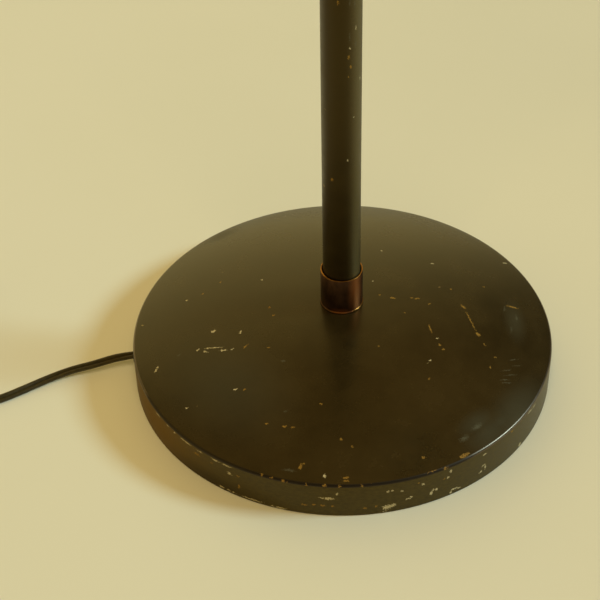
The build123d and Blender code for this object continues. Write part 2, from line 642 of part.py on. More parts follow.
# Spun shade: flat crown under the cup's flange, quarter-round dome, straight lip and an outward hem
with BuildPart() as shade:
    for inset, shade_mode in ((0, Mode.ADD), (SHADE_WALL, Mode.SUBTRACT)):
        side = SHADE_RADIUS - inset
        crown = cup_foot - inset
        with BuildSketch(head_outline):
            with BuildLine():
                Polyline((SHADE_CROWN_RADIUS, crown), (0, crown), (0, shade_mouth), (side, shade_mouth))
                Line((side, shade_mouth), (side, shade_lip_top))
                CenterArc((SHADE_CROWN_RADIUS, shade_lip_top), shade_dome_radius - inset, 0, 90)
            make_face()
        revolve(axis=head_axis, mode=shade_mode)
    with BuildSketch(Plane(origin=(ARM_REACH, 0, shade_mouth))):
        Circle(SHADE_RADIUS + SHADE_HEM_WALL)
        Circle(SHADE_RADIUS - SHADE_WALL, mode=Mode.SUBTRACT)
    extrude(amount=SHADE_HEM_HEIGHT)
    with Locations((ARM_REACH, 0, cup_foot)):
        Hole(cup_bore)
shade.part.label = "shade"

# Lampholder: cap on the nipple, outer shell, insulating liner, body, screw shell and contact
holder_slope_top = holder_top - HOLDER_CAP_COLLAR_HEIGHT
holder_slope_foot = holder_slope_top - HOLDER_CAP_SLOPE
with BuildPart() as lampholder_cap:
    with BuildSketch(head_outline):
        with BuildLine():
            Polyline(
                (ROD_DIAMETER / 2 + SEATED, holder_top),
                (HOLDER_CAP_COLLAR_RADIUS, holder_top),
                (HOLDER_CAP_COLLAR_RADIUS, holder_slope_top),
                (HOLDER_RADIUS, holder_slope_foot),
                (HOLDER_RADIUS, holder_skirt_foot),
                (HOLDER_RADIUS - HOLDER_CAP_WALL, holder_skirt_foot),
                (HOLDER_RADIUS - HOLDER_CAP_WALL, holder_slope_foot),
                (HOLDER_CAP_COLLAR_RADIUS, holder_slope_top - HOLDER_CAP_WALL),
                (HOLDER_CAP_COLLAR_RADIUS, holder_slope_foot),
                (ROD_DIAMETER / 2 + SEATED, holder_slope_foot),
                close=True,
            )
        make_face()
    revolve(axis=head_axis)
lampholder_cap.part.label = "lampholder_cap"

with BuildPart(Plane(origin=(ARM_REACH, 0, holder_mouth))) as lampholder_shell:
    Cylinder(holder_shell_radius, holder_shell_top - holder_mouth, align=ON_BASE)
    Hole(holder_shell_radius - HOLDER_SHELL_WALL)
    with BuildSketch(key_plane):
        Circle(KEY_SHAFT_DIAMETER / 2 + KEY_HOLE_MARGIN)
    extrude(amount=HOLDER_RADIUS, mode=Mode.SUBTRACT)
lampholder_shell.part.label = "lampholder_shell"

with BuildPart(Plane(origin=(ARM_REACH, 0, holder_mouth + HOLDER_LINER_STEP))) as lampholder_liner:
    Cylinder(holder_liner_radius, holder_body_top - holder_mouth - HOLDER_LINER_STEP, align=ON_BASE)
    Hole(holder_liner_bore)
    with BuildSketch(key_plane):
        Circle(KEY_SHAFT_DIAMETER / 2 + KEY_HOLE_MARGIN)
    extrude(amount=HOLDER_RADIUS, mode=Mode.SUBTRACT)
lampholder_liner.part.label = "lampholder_liner"

with BuildPart(Plane(origin=(ARM_REACH, 0, holder_body_foot))) as lampholder_body:
    Cylinder(holder_body_radius, HOLDER_BODY_HEIGHT, align=ON_BASE)
    with BuildSketch(key_plane.offset(holder_body_radius - KEY_SHAFT_DEPTH)):
        Circle(KEY_SHAFT_DIAMETER / 2 + SEATED)
    extrude(amount=KEY_SHAFT_DEPTH + SWEPT, mode=Mode.SUBTRACT)
lampholder_body.part.label = "lampholder_body"

with BuildPart(Plane(origin=(ARM_REACH, 0, holder_body_foot))) as screw_shell:
    Cylinder(screw_shell_bore + SCREW_SHELL_WALL, SCREW_SHELL_LENGTH, align=BEHIND)
    Hole(screw_shell_bore)
screw_shell.part.label = "screw_shell"

with BuildPart(Plane(origin=(ARM_REACH, 0, holder_body_foot))) as centre_contact:
    Cylinder(CONTACT_RADIUS, CONTACT_THICKNESS, align=BEHIND)
centre_contact.part.label = "centre_contact"

# Turn switch: a shaft into the lampholder body and a fluted key outside the cup
with BuildPart() as switch_key:
    key_face = key_plane.offset(CUP_RADIUS + KEY_KNOB_STANDOFF)
    key_radius = KEY_KNOB_DIAMETER / 2
    with Locations(key_face):
        Cone(key_radius, key_radius - knob_slope * KEY_KNOB_LENGTH, KEY_KNOB_LENGTH, align=ON_BASE)
    chamfer(switch_key.edges().filter_by(GeomType.CIRCLE).sort_by(Axis.X)[-1], KNOB_EDGE)
    with BuildSketch(key_face):
        with PolarLocations(key_radius + KNOB_FLUTE_RADIUS / 2, KEY_FLUTES):
            Circle(KNOB_FLUTE_RADIUS)
    extrude(amount=KEY_KNOB_LENGTH, mode=Mode.SUBTRACT)
    with Locations(key_face):
        Cylinder(
            KEY_SHAFT_DIAMETER / 2,
            CUP_RADIUS + KEY_KNOB_STANDOFF - holder_body_radius + KEY_SHAFT_DEPTH - SWEPT,
            align=BEHIND,
        )
switch_key.part.label = "switch_key"

# Bulb: screw cap and a blown envelope
with BuildPart() as bulb_cap:
    with BuildSketch(head_outline):
        with BuildLine():
            Polyline(
                (0, bulb_top),
                (BULB_TIP_RADIUS, bulb_top),
                (BULB_CAP_RADIUS, bulb_top - BULB_TIP_HEIGHT),
                (BULB_CAP_RADIUS, bulb_cap_foot),
                (bulb_cap_bore, bulb_cap_foot),
                (bulb_cap_bore, bulb_top - 2 * BULB_TIP_HEIGHT),
                (0, bulb_top - 2 * BULB_TIP_HEIGHT),
                close=True,
            )
        make_face()
    revolve(axis=head_axis)
bulb_cap.part.label = "bulb_cap"

with BuildPart() as bulb_glass:
    for inset, glass_mode in ((0, Mode.ADD), (BULB_GLASS_WALL, Mode.SUBTRACT)):
        throat = bulb_cap_bore - SEATED - inset
        ball = BULB_RADIUS - inset
        with BuildSketch(head_outline):
            with BuildLine():
                Polyline((0, bulb_widest - ball), (0, bulb_throat_top), (throat, bulb_throat_top))
                Line((throat, bulb_throat_top), (throat, bulb_cap_foot))
                Spline((throat, bulb_cap_foot), (ball, bulb_widest), tangents=((0, -1), (0, -1)))
                CenterArc((0, bulb_widest), ball, 0, -90)
            make_face()
        revolve(axis=head_axis, mode=glass_mode)
bulb_glass.part.label = "bulb_glass"

# Flex inside the lamp: base and stem, then arm, then head
with BuildPart() as stand_flex:
    with BuildLine() as stand_flex_line:
        Line((-bushing_face, 0, CORD_EXIT_HEIGHT), (-BASE_FLEX_BEND, 0, CORD_EXIT_HEIGHT))
        TangentArc(
            (-BASE_FLEX_BEND, 0, CORD_EXIT_HEIGHT),
            (0, 0, CORD_EXIT_HEIGHT + BASE_FLEX_BEND),
            tangent=(1, 0, 0),
        )
        Line((0, 0, CORD_EXIT_HEIGHT + BASE_FLEX_BEND), (0, 0, post_top))
    with BuildSketch(Plane(origin=(-bushing_face, 0, CORD_EXIT_HEIGHT), x_dir=(0, 1, 0), z_dir=(1, 0, 0))):
        SlotOverall(CORD_WIDTH, CORD_THICKNESS)
    sweep(path=stand_flex_line.line)
stand_flex.part.label = "stand_flex"

arm_flex_end = ARM_REACH - KNUCKLE_RADIUS
with BuildPart() as arm_flex:
    with BuildLine() as arm_flex_line:
        TangentArc((0, 0, arm_flex_foot), (ARM_FLEX_BEND, 0, arm_level), tangent=(0, 0, 1))
        Line((ARM_FLEX_BEND, 0, arm_level), (arm_flex_end, 0, arm_level))
    with BuildSketch(Plane(origin=(0, 0, arm_flex_foot), x_dir=(0, 1, 0), z_dir=(0, 0, 1))):
        SlotOverall(CORD_WIDTH, CORD_THICKNESS)
    sweep(path=arm_flex_line.line)
arm_flex.part.label = "arm_flex"

with BuildPart() as head_flex:
    with BuildSketch(Plane(origin=(ARM_REACH, 0, holder_body_top), x_dir=(0, 1, 0), z_dir=(0, 0, 1))):
        SlotOverall(CORD_WIDTH, CORD_THICKNESS)
    extrude(amount=arm_level - KNUCKLE_RADIUS - holder_body_top)
head_flex.part.label = "head_flex"


def bend_radii(points):
    """The radius at each inner corner: arcs that take up nine tenths of the shorter run."""
    radii = []
    for before, corner, after in zip(points, points[1:], points[2:]):
        run_in = Vector(*corner) - Vector(*before)
        run_out = Vector(*after) - Vector(*corner)
        half_turn = math.radians(run_in.get_angle(run_out)) / 2
        radii.append(0.45 * min(run_in.length, run_out.length) / math.tan(half_turn))
    return radii


def coil_point(turns):
    """A point on the coil's middle line: in along the floor, up half a turn, out on top."""
    turns_above = turns - COIL_TURNS_IN - COIL_TURNS_UP
    if turns <= COIL_TURNS_IN:
        radius = coil_outer_radius - COIL_PITCH * turns
        rise = 0.0
    elif turns_above <= 0:
        climb = (turns - COIL_TURNS_IN) / COIL_TURNS_UP
        radius = COIL_INNER_RADIUS - COIL_PITCH * COIL_TURNS_UP / math.pi * math.sin(math.pi * climb)
        rise = COIL_LAYER_STEP * climb**2 * (3 - 2 * climb)
    else:
        radius = COIL_INNER_RADIUS + COIL_PITCH * turns_above
        rise = COIL_LAYER_STEP
    angle = -math.pi / 2 - 2 * math.pi * turns
    x = COIL_CENTRE[0] + radius * math.cos(angle)
    y = COIL_CENTRE[1] + radius * math.sin(angle)
    return Vector(x, y, coil_level + rise)


def coil_heading(turns):
    """The direction of the coil's middle line."""
    step = 0.001
    return (coil_point(turns + step) - coil_point(turns - step)).normalized()


def biarc_joint(start, start_heading, end, end_heading):
    """The point where two arcs tangent to the given ends meet smoothly."""
    chord = end - start
    a = 2 * (start_heading.dot(end_heading) - 1)
    b = -2 * chord.dot(start_heading + end_heading)
    c = chord.dot(chord)
    reach = (-b - math.sqrt(b * b - 4 * a * c)) / (2 * a)
    return (start + start_heading * reach + end - end_heading * reach) * 0.5


# Cord coil: one length wound in two layers, with straight ends
coil_turns = COIL_TURNS_IN + COIL_TURNS_UP + COIL_TURNS_OUT
coil_spans = round(coil_turns * 4)
coil_marks = [coil_turns * number / coil_spans for number in range(coil_spans + 1)]
coil_start = coil_point(0) - coil_heading(0) * CORD_WIDTH
with BuildPart() as cord_coil:
    with BuildLine() as coil_line:
        Line(coil_start, coil_point(0))
        for mark, next_mark in zip(coil_marks, coil_marks[1:]):
            start = coil_point(mark)
            end = coil_point(next_mark)
            joint = biarc_joint(start, coil_heading(mark), end, coil_heading(next_mark))
            first_arc = TangentArc(start, joint, tangent=coil_heading(mark))
            last_arc = TangentArc(joint, end, tangent=first_arc % 1)
        coil_end_heading = last_arc % 1
        coil_end = end + coil_end_heading * CORD_WIDTH
        Line(end, coil_end)
    with BuildSketch(Plane(origin=coil_start, x_dir=(0, 1, 0), z_dir=coil_heading(0))):
        SlotOverall(CORD_WIDTH, CORD_THICKNESS)
    sweep(path=coil_line.line)
cord_coil.part.label = "cord_coil"

# Cord between the base and the coil, and between the coil and the plug
lead_points = [
    (-bushing_face, 0, CORD_EXIT_HEIGHT),
    (-bushing_face - 11.5, 0, CORD_EXIT_HEIGHT),
    (-bushing_face - 27.5, -5.0, 7.4),
    (-bushing_face - 44.5, -9.8, 3.9),
    (-bushing_face - 61.0, -14.8, 2.0),
    (-bushing_face - 77.0, -23.6, cord_rest),
    (-bushing_face - 93.0, -32.4, cord_rest),
    (-bushing_face - 115.0, coil_start.Y - 1.0, cord_rest),
    tuple(coil_start - coil_heading(0) * 24.0),
    tuple(coil_start),
]
tail_points = [
    tuple(coil_end),
    tuple(coil_end + coil_end_heading * 17.0),
    (coil_end.X + 5.0, coil_end.Y + 38.0, 3.2),
    (coil_end.X + 17.0, PLUG_BACK[1] - 13.0, cord_rest),
    (PLUG_BACK[0] - 28.0, PLUG_BACK[1] - 3.5, 3.2),
    (PLUG_BACK[0] - 13.0, PLUG_BACK[1], plug_level),
    (PLUG_BACK[0], PLUG_BACK[1], plug_level),
]
with BuildPart() as cord_lead:
    with BuildLine() as lead_line:
        FilletPolyline(*lead_points, radius=bend_radii(lead_points))
    with BuildSketch(Plane(origin=lead_points[0], x_dir=(0, 1, 0), z_dir=(-1, 0, 0))):
        SlotOverall(CORD_WIDTH, CORD_THICKNESS)
    sweep(path=lead_line.line)
cord_lead.part.label = "cord_lead"

with BuildPart() as cord_tail:
    with BuildLine() as tail_line:
        FilletPolyline(*tail_points, radius=bend_radii(tail_points))
    tail_across = coil_end_heading.cross(Vector(0, 0, 1))
    with BuildSketch(Plane(origin=coil_end, x_dir=tail_across, z_dir=coil_end_heading)):
        SlotOverall(CORD_WIDTH, CORD_THICKNESS)
    sweep(path=tail_line.line)
cord_tail.part.label = "cord_tail"

# Tie: a flat band round the turns of the coil
tie_turn = math.radians(TIE_ANGLE)
tie_middle = (coil_outer_radius + COIL_INNER_RADIUS) / 2
tie_opening_width = coil_outer_radius - COIL_INNER_RADIUS + CORD_WIDTH + 2 * TIE_SLACK
tie_opening_height = COIL_LAYER_STEP + CORD_THICKNESS + FACE_GAP + TIE_SLACK
tie_plane = Plane(
    origin=(
        COIL_CENTRE[0] + tie_middle * math.cos(tie_turn),
        COIL_CENTRE[1] + tie_middle * math.sin(tie_turn),
        CORD_FLOOR_LIFT + TIE_THICKNESS + tie_opening_height / 2,
    ),
    x_dir=(math.cos(tie_turn), math.sin(tie_turn), 0),
    z_dir=(math.sin(tie_turn), -math.cos(tie_turn), 0),
)
with BuildPart() as cord_tie:
    with BuildSketch(tie_plane):
        RectangleRounded(tie_opening_width, tie_opening_height, TIE_CORNER - TIE_THICKNESS)
        offset(amount=TIE_THICKNESS)
        RectangleRounded(
            tie_opening_width,
            tie_opening_height,
            TIE_CORNER - TIE_THICKNESS,
            mode=Mode.SUBTRACT,
        )
    extrude(amount=TIE_WIDTH / 2, both=True)
cord_tie.part.label = "cord_tie"

# Plug: a moulded body tapering to its heel, and two flat blades
with BuildPart() as plug_body:
    with BuildSketch(plug_plane):
        RectangleRounded(PLUG_HEEL_WIDTH, PLUG_HEEL_HEIGHT, PLUG_HEEL_CORNER)
    with BuildSketch(plug_plane.offset(PLUG_HEEL_LENGTH)):
        RectangleRounded(PLUG_WIDTH, PLUG_HEIGHT, PLUG_CORNER)
    loft()
    with BuildSketch(plug_plane.offset(PLUG_HEEL_LENGTH)):
        RectangleRounded(PLUG_WIDTH, PLUG_HEIGHT, PLUG_CORNER)
    extrude(amount=PLUG_LENGTH - PLUG_HEEL_LENGTH)
    fillet(plug_body.faces().sort_by(Axis.X)[-1].edges(), PLUG_EDGE)
plug_body.part.label = "plug_body"

with BuildPart() as plug_blades:
    with BuildSketch(plug_plane.offset(PLUG_LENGTH)):
        with GridLocations(BLADE_SPACING, 0, 2, 1):
            Rectangle(BLADE_THICKNESS, BLADE_WIDTH)
    extrude(amount=BLADE_LENGTH)
    chamfer(plug_blades.edges().filter_by(Axis.Y).group_by(Axis.X)[-1], BLADE_TIP)
    with Locations(blade_hole_plane):
        Cylinder(BLADE_HOLE_DIAMETER / 2, PLUG_WIDTH, mode=Mode.SUBTRACT)
plug_blades.part.label = "plug_blades"

pieces = (
    felt_pad,
    base_weight,
    base_cover,
    cord_bushing,
    tie_rod,
    tie_rod_washer,
    tie_rod_nut,
    stem_foot,
    stem_tube,
    stem_ferrule,
    stem_collar,
    swivel_post,
    swivel_washer,
    swivel_nut,
    arm_hub,
    stop_screw,
    arm_hub_cap,
    arm_tube,
    arm_knuckle,
    tilt_knob,
    head_knuckle,
    shade_cup,
    shade,
    lampholder_cap,
    lampholder_shell,
    lampholder_liner,
    lampholder_body,
    screw_shell,
    centre_contact,
    switch_key,
    bulb_cap,
    bulb_glass,
    stand_flex,
    arm_flex,
    head_flex,
    cord_lead,
    cord_coil,
    cord_tail,
    cord_tie,
    plug_body,
    plug_blades,
)
os.makedirs("parts", exist_ok=True)
for piece in pieces:
    export_step(piece.part, f"parts/{piece.part.label}.step")

for name, points in (("lead", lead_points), ("tail", tail_points)):
    print(name, "bend radii", [round(radius) for radius in bend_radii(points)])
cord_length = 0.0
for cord, line in ((cord_lead, lead_line), (cord_coil, coil_line), (cord_tail, tail_line)):
    length = sum(edge.length for edge in line.edges())
    cord_length += length
    print(cord.part.label, "length", round(length, 1), "volume", round(cord.part.volume, 1))
    print("  section x length", round(cord_area * length, 1))
print("cord length outside the base", round(cord_length, 1))

coil_length = sum(edge.length for edge in coil_line.edges())
coil_wire = coil_line.wires()[0]
coil_steps = round(coil_length / 2)
coil_samples = [coil_wire @ (number / coil_steps) for number in range(coil_steps + 1)]
coil_skip = round(4 * CORD_WIDTH / coil_length * coil_steps)
least_gap = COIL_PITCH
for number, here in enumerate(coil_samples):
    for there in coil_samples[number + coil_skip :]:
        across = max(0.0, math.hypot(here.X - there.X, here.Y - there.Y) - CORD_WIDTH + CORD_THICKNESS)
        least_gap = min(least_gap, math.hypot(across, here.Z - there.Z) - CORD_THICKNESS)
print("coil least gap", round(least_gap, 2))
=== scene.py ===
"""Swing-arm floor lamp: aged black lacquer over steel, copper trim, flat mains flex.

Metres, in the lamp's own frame: the origin is the middle of the base on the floor, Z is up, the arm
lies along +X at rest and the mains cord leaves the base along -X. Sizes here are in millimetres.
"""

import math

import bmesh
import bpy
from mathutils import Matrix, Vector, noise


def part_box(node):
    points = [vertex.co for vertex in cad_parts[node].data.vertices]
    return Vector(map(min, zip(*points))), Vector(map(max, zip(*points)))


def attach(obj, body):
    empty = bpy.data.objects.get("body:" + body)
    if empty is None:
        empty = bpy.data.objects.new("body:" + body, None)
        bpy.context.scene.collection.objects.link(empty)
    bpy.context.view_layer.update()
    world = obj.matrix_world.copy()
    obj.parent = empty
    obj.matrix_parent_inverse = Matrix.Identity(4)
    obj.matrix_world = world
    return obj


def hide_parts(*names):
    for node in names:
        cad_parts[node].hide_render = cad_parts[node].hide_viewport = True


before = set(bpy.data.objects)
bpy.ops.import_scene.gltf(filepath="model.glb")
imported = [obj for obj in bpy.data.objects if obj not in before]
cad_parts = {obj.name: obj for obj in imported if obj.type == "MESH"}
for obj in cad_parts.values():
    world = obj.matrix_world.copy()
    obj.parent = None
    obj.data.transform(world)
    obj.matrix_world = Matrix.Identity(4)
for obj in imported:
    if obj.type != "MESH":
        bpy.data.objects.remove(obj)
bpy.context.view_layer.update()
MM = 0.001

# Felt pad under the base
# A disc of pressed wool, die cut and glued on, that keeps the weight off the floor boards. Pressed felt
# is matt, with short fibres lying every way.


def linear(colour):
    """A linear colour, with full alpha, from an sRGB hex value."""
    shares = [int(colour[at : at + 2], 16) / 255 for at in (1, 3, 5)]
    return (*(s / 12.92 if s <= 0.04045 else ((s + 0.055) / 1.055) ** 2.4 for s in shares), 1.0)


def add_node(tree, kind, sockets, **settings):
    """Add a node with its settings, and fill its sockets with values or links."""
    node = tree.nodes.new("ShaderNode" + kind)
    for name, value in settings.items():
        setattr(node, name, value)
    for key, value in sockets.items():
        if isinstance(value, bpy.types.NodeSocket):
            tree.links.new(value, node.inputs[key])
        else:
            node.inputs[key].default_value = value
    return node


def start_material(name, finish):
    """A new material: its node tree, its shader with the finish set, and the piece's own coordinates."""
    material = bpy.data.materials.new(name)
    material.use_nodes = True
    tree = material.node_tree
    shader = tree.nodes["Principled BSDF"]
    for socket, value in finish.items():
        shader.inputs[socket].default_value = value
    place = add_node(tree, "TexCoord", {}).outputs["Object"]
    return material, tree, shader, place


# Smooth noise seldom leaves this span
NOISE_LOW, NOISE_HIGH = 0.3, 0.7


def mottle(tree, shader, place, size, colours, roughness, relief, stretch=(1, 1, 1)):
    """Blotches of two colours, with the roughness and a low relief that follow them."""
    drawn = add_node(tree, "Mapping", {"Vector": place, "Scale": stretch}).outputs["Vector"]
    blotch = add_node(
        tree, "TexNoise", {"Vector": drawn, "Scale": 1 / (size * MM), "Detail": 5.0}
    ).outputs["Fac"]
    spread = add_node(
        tree, "MapRange", {"Value": blotch, "From Min": NOISE_LOW, "From Max": NOISE_HIGH}
    ).outputs["Result"]
    tone = add_node(tree, "Mix", {0: spread, 6: linear(colours[0]), 7: linear(colours[1])}, data_type="RGBA")
    rough = add_node(tree, "MapRange", {"Value": spread, "To Min": roughness[0], "To Max": roughness[1]})
    bump = add_node(tree, "Bump", {"Height": blotch, "Distance": relief * MM, "Strength": 1.0})
    tree.links.new(tone.outputs[2], shader.inputs["Base Color"])
    tree.links.new(rough.outputs["Result"], shader.inputs["Roughness"])
    tree.links.new(bump.outputs["Normal"], shader.inputs["Normal"])
    return tone.outputs[2]


def dress(material, *names):
    """Give CAD nodes a finish of their own."""
    for name in names:
        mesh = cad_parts[name].data
        mesh.materials.clear()
        mesh.materials.append(material)


FELT_FIBRE = 1.2
wool_felt, tree, shader, place = start_material("pressed_wool_felt", {"Sheen Weight": 0.3})
mottle(tree, shader, place, FELT_FIBRE, ("#1E261F", "#3A443A"), (0.85, 1.0), 0.4)
dress(wool_felt, "felt_pad")

# Ballast
# A grey iron casting from a sand mould: dull, a little rusty, with the grain of the sand in its skin.
SAND_GRAIN = 1.6
cast_iron, tree, shader, place = start_material("sand_cast_iron", {"Metallic": 0.6})
mottle(tree, shader, place, SAND_GRAIN, ("#3A3633", "#4E4640"), (0.6, 0.8), 0.35)
dress(cast_iron, "base_weight")

# Base cover
# One disc of steel spun over a former: an upright rim, a crisp edge and a shallow dome. It is sprayed
# with black lacquer that has gone olive brown, chipped to its cream primer and to rust.


def arc(centre, radius, start, end, steps):
    """Points along an arc of an outline, from one angle in degrees to another."""
    turns = [math.radians(start + (end - start) * number / steps) for number in range(steps + 1)]
    return [(centre[0] + radius * math.cos(turn), centre[1] + radius * math.sin(turn)) for turn in turns]


def spun(outline, steps, centre_x=0.0, closed=True):
    """A turned or spun form: an outline of radii and heights taken once round its upright axis."""
    form = bmesh.new()
    corners = [form.verts.new(((centre_x + radius) * MM, 0, height * MM)) for radius, height in outline]
    sides = [form.edges.new(pair) for pair in zip(corners, corners[1:])]
    if closed:
        sides.append(form.edges.new((corners[-1], corners[0])))
    bmesh.ops.spin(
        form,
        geom=corners + sides,
        cent=(centre_x * MM, 0, 0),
        axis=(0, 0, 1),
        angle=2 * math.pi,
        steps=steps,
        use_merge=True,
    )
    bmesh.ops.remove_doubles(form, verts=form.verts, dist=0.001 * MM)
    bmesh.ops.recalc_face_normals(form, faces=form.faces)
    return form


SHARP_ANGLE = 32.0


def make_piece(name, form, material, slot, body, *nodes):
    """Turn a form into a piece that rides on a body and stands for some nodes."""
    mesh = bpy.data.meshes.new(name)
    form.to_mesh(mesh)
    form.free()
    mesh.shade_smooth()
    mesh.set_sharp_from_angle(angle=math.radians(SHARP_ANGLE))
    mesh.materials.append(material)
    piece = bpy.data.objects.new(name, mesh)
    bpy.context.scene.collection.objects.link(piece)
    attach(piece, body)
    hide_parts(*nodes)
    return piece


def nearest_mark(tree, place, marks):
    """How far a point is from the closest of some oval marks: 0 at its middle, 1 at its edge."""
    nearest = None
    for (x, y, z), heading, size in marks:
        oval = add_node(
            tree,
            "Mapping",
            {
                "Vector": place,
                "Location": (x * MM, y * MM, z * MM),
                "Rotation": (0, 0, math.radians(heading)),
                "Scale": tuple(extent / 2 * MM for extent in size),
            },
            vector_type="TEXTURE",
        )
        reach = add_node(tree, "VectorMath", {0: oval.outputs["Vector"]}, operation="LENGTH").outputs["Value"]
        if nearest is None:
            nearest = reach
        else:
            nearest = add_node(tree, "Math", {0: nearest, 1: reach}, operation="MINIMUM").outputs["Value"]
    return nearest


PAINT_GRAIN = 1.2
PAINT_RAGGED = 3.0
FLAKE_GRAIN = 0.8
FLAKE_MEAN = 0.4
ORANGE_PEEL = 0.004
WORN_ROUGHNESS = 0.6
MATT_SHINE = 0.1
# Each layer, of marks of use and of painted light and shade: its kind, its two colours, how far it covers,
# its soft edge and how it flakes
WEAR_LAYERS = [
    # A painted reflection: the warm floor's golden glow on the grazing left of the rim
    ("amber", "#664804", "#725206", 0.8, (1.0, 0.0), 0.0),
    # A painted highlight: the stem's lit right side, lighter
    ("faded", "#5E5230", "#6C6040", 0.6, (1.0, 0.0), 0.0),
    # Painted shade: the rim's foot darker on the left front, next to the floor
    ("grime", "#0B0904", "#120E06", 0.65, (1.0, 0.0), 0.0),
    # The edge darker and made matt along the front and the left
    ("dirt", "#070502", "#0B0804", 0.75, (1.0, 0.8), 0.0),
    # Patches rubbed dull and lightened grey, partly a painted sheen
    ("haze", "#2F2F25", "#3A3A2F", 0.5, (1.0, 0.0), 0.0),
    ("scuffs", "#45453A", "#605F50", 0.6, (1.0, 0.3), 2.0),
    ("rust", "#5C4216", "#A67E34", 1.0, (1.0, 0.75), 2.0),
    ("primer", "#8C7C56", "#DDD0A8", 1.0, (1.0, 0.8), 2.0),
]


def lacquer(name, tones, gloss, cloud, speck_spacing, shine=0.5, gleam="#FFE9B0", ior=1.5, **wear):
    """Old black lacquer: cloudy soft gloss, fine specks, chips down to rust and primer, dulled patches, and
    painted light and shade.
    """
    finish = {"IOR": ior, "Specular IOR Level": shine, "Specular Tint": linear(gleam)}
    material, tree, shader, place = start_material(name, finish)
    # Handling leaves cloudy patches of more and of less gloss, longer round the piece than upright
    drawn = add_node(tree, "Mapping", {"Vector": place, "Scale": (1, 1, 2.2)}).outputs["Vector"]
    cloudy = add_node(
        tree, "TexNoise", {"Vector": drawn, "Scale": 1 / (cloud * MM), "Detail": 7.0, "Roughness": 0.64}
    ).outputs["Fac"]
    spread = add_node(
        tree, "MapRange", {"Value": cloudy, "From Min": NOISE_LOW, "From Max": NOISE_HIGH}
    ).outputs["Result"]
    tone = add_node(
        tree, "Mix", {0: spread, 6: linear(tones[0]), 7: linear(tones[1])}, data_type="RGBA"
    ).outputs[2]
    rough = add_node(
        tree, "MapRange", {"Value": spread, "To Min": gloss[0], "To Max": gloss[1]}
    ).outputs["Result"]
    # Paint breaks along a grain of about a millimetre, so that no mark has a smooth edge
    grain = add_node(tree, "TexNoise", {"Vector": place, "Scale": 1 / (PAINT_GRAIN * MM), "Detail": 3.0})
    shaken = add_node(
        tree, "VectorMath", {0: grain.outputs["Color"], 1: (0.5, 0.5, 0.5)}, operation="SUBTRACT"
    )
    ragged = add_node(
        tree,
        "VectorMath",
        {0: shaken.outputs["Vector"], 1: (PAINT_RAGGED * MM,) * 3, 2: place},
        operation="MULTIPLY_ADD",
    ).outputs["Vector"]
    flakes = add_node(
        tree, "TexNoise", {"Vector": place, "Scale": 1 / (FLAKE_GRAIN * MM), "Detail": 2.0}
    ).outputs["Fac"]
    # Specks: one cell in ten holds a dot where the lacquer has let go
    cells = add_node(tree, "TexVoronoi", {"Vector": ragged, "Scale": 1 / (speck_spacing * MM)})
    share = add_node(tree, "SeparateXYZ", {"Vector": cells.outputs["Color"]})
    dot_size = add_node(
        tree, "MapRange", {"Value": share.outputs["X"], "From Min": 0.9, "From Max": 1.0, "To Max": 0.1}
    )
    specks = add_node(
        tree, "Math", {0: cells.outputs["Distance"], 1: dot_size.outputs["Result"]}, operation="LESS_THAN"
    ).outputs["Value"]
    speck_tone = add_node(
        tree, "Mix", {0: share.outputs["Y"], 6: linear("#5A3E18"), 7: linear("#94855A")}, data_type="RGBA"
    )
    tone = add_node(tree, "Mix", {0: specks, 6: tone, 7: speck_tone.outputs[2]}, data_type="RGBA").outputs[2]
    for kind, dark, light, cover, (rim, core), flaking in WEAR_LAYERS:
        if kind not in wear:
            continue
        reach = nearest_mark(tree, ragged, wear[kind])
        broken = add_node(
            tree, "Math", {0: flakes, 1: flaking, 2: reach}, operation="MULTIPLY_ADD"
        ).outputs["Value"]
        mean_flake = FLAKE_MEAN * flaking
        worn = add_node(
            tree,
            "MapRange",
            {"Value": broken, "From Min": rim + mean_flake, "From Max": core + mean_flake, "To Max": cover},
            interpolation_type="SMOOTHSTEP",
        ).outputs["Result"]
        under = add_node(
            tree, "Mix", {0: grain.outputs["Fac"], 6: linear(dark), 7: linear(light)}, data_type="RGBA"
        ).outputs[2]
        tone = add_node(tree, "Mix", {0: worn, 6: tone, 7: under}, data_type="RGBA").outputs[2]
        rough = add_node(tree, "Mix", {0: worn, 2: rough, 3: WORN_ROUGHNESS}).outputs[0]
        # The painted warm glow and the dark edge band also turn the shine down
        if kind in ("amber", "dirt"):
            matt = add_node(tree, "Mix", {0: worn, 2: shine, 3: MATT_SHINE}).outputs[0]
            tree.links.new(matt, shader.inputs["Specular IOR Level"])
    # Sprayed lacquer has a faint orange peel
    bump = add_node(
        tree, "Bump", {"Height": grain.outputs["Fac"], "Distance": ORANGE_PEEL * MM, "Strength": 0.6}
    )
    tree.links.new(tone, shader.inputs["Base Color"])
    tree.links.new(rough, shader.inputs["Roughness"])
    tree.links.new(bump.outputs["Normal"], shader.inputs["Normal"])
    return material


cover_low, cover_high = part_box("base_cover")
COVER_RADIUS = cover_high.y / MM
COVER_FOOT = cover_low.z / MM
CROWN = cover_high.z / MM
RIM_HEIGHT = 28.0
SEAT_RADIUS = 15.2
ROD_HOLE_RADIUS = 5.1
EDGE_RADIUS = 2.0
COVER_WALL = 1.2
SPUN_WAVE = 0.1
WAVES_A_METRE = 22
COVER_STEPS = 256
WALL_STEPS = 6
EDGE_STEPS = 8
DOME_STEPS = 32
dome_span = COVER_RADIUS**2 - SEAT_RADIUS**2
dome_middle = (CROWN**2 - RIM_HEIGHT**2 - dome_span) / (2 * (CROWN - RIM_HEIGHT))
dome_radius = math.hypot(COVER_RADIUS, RIM_HEIGHT - dome_middle)


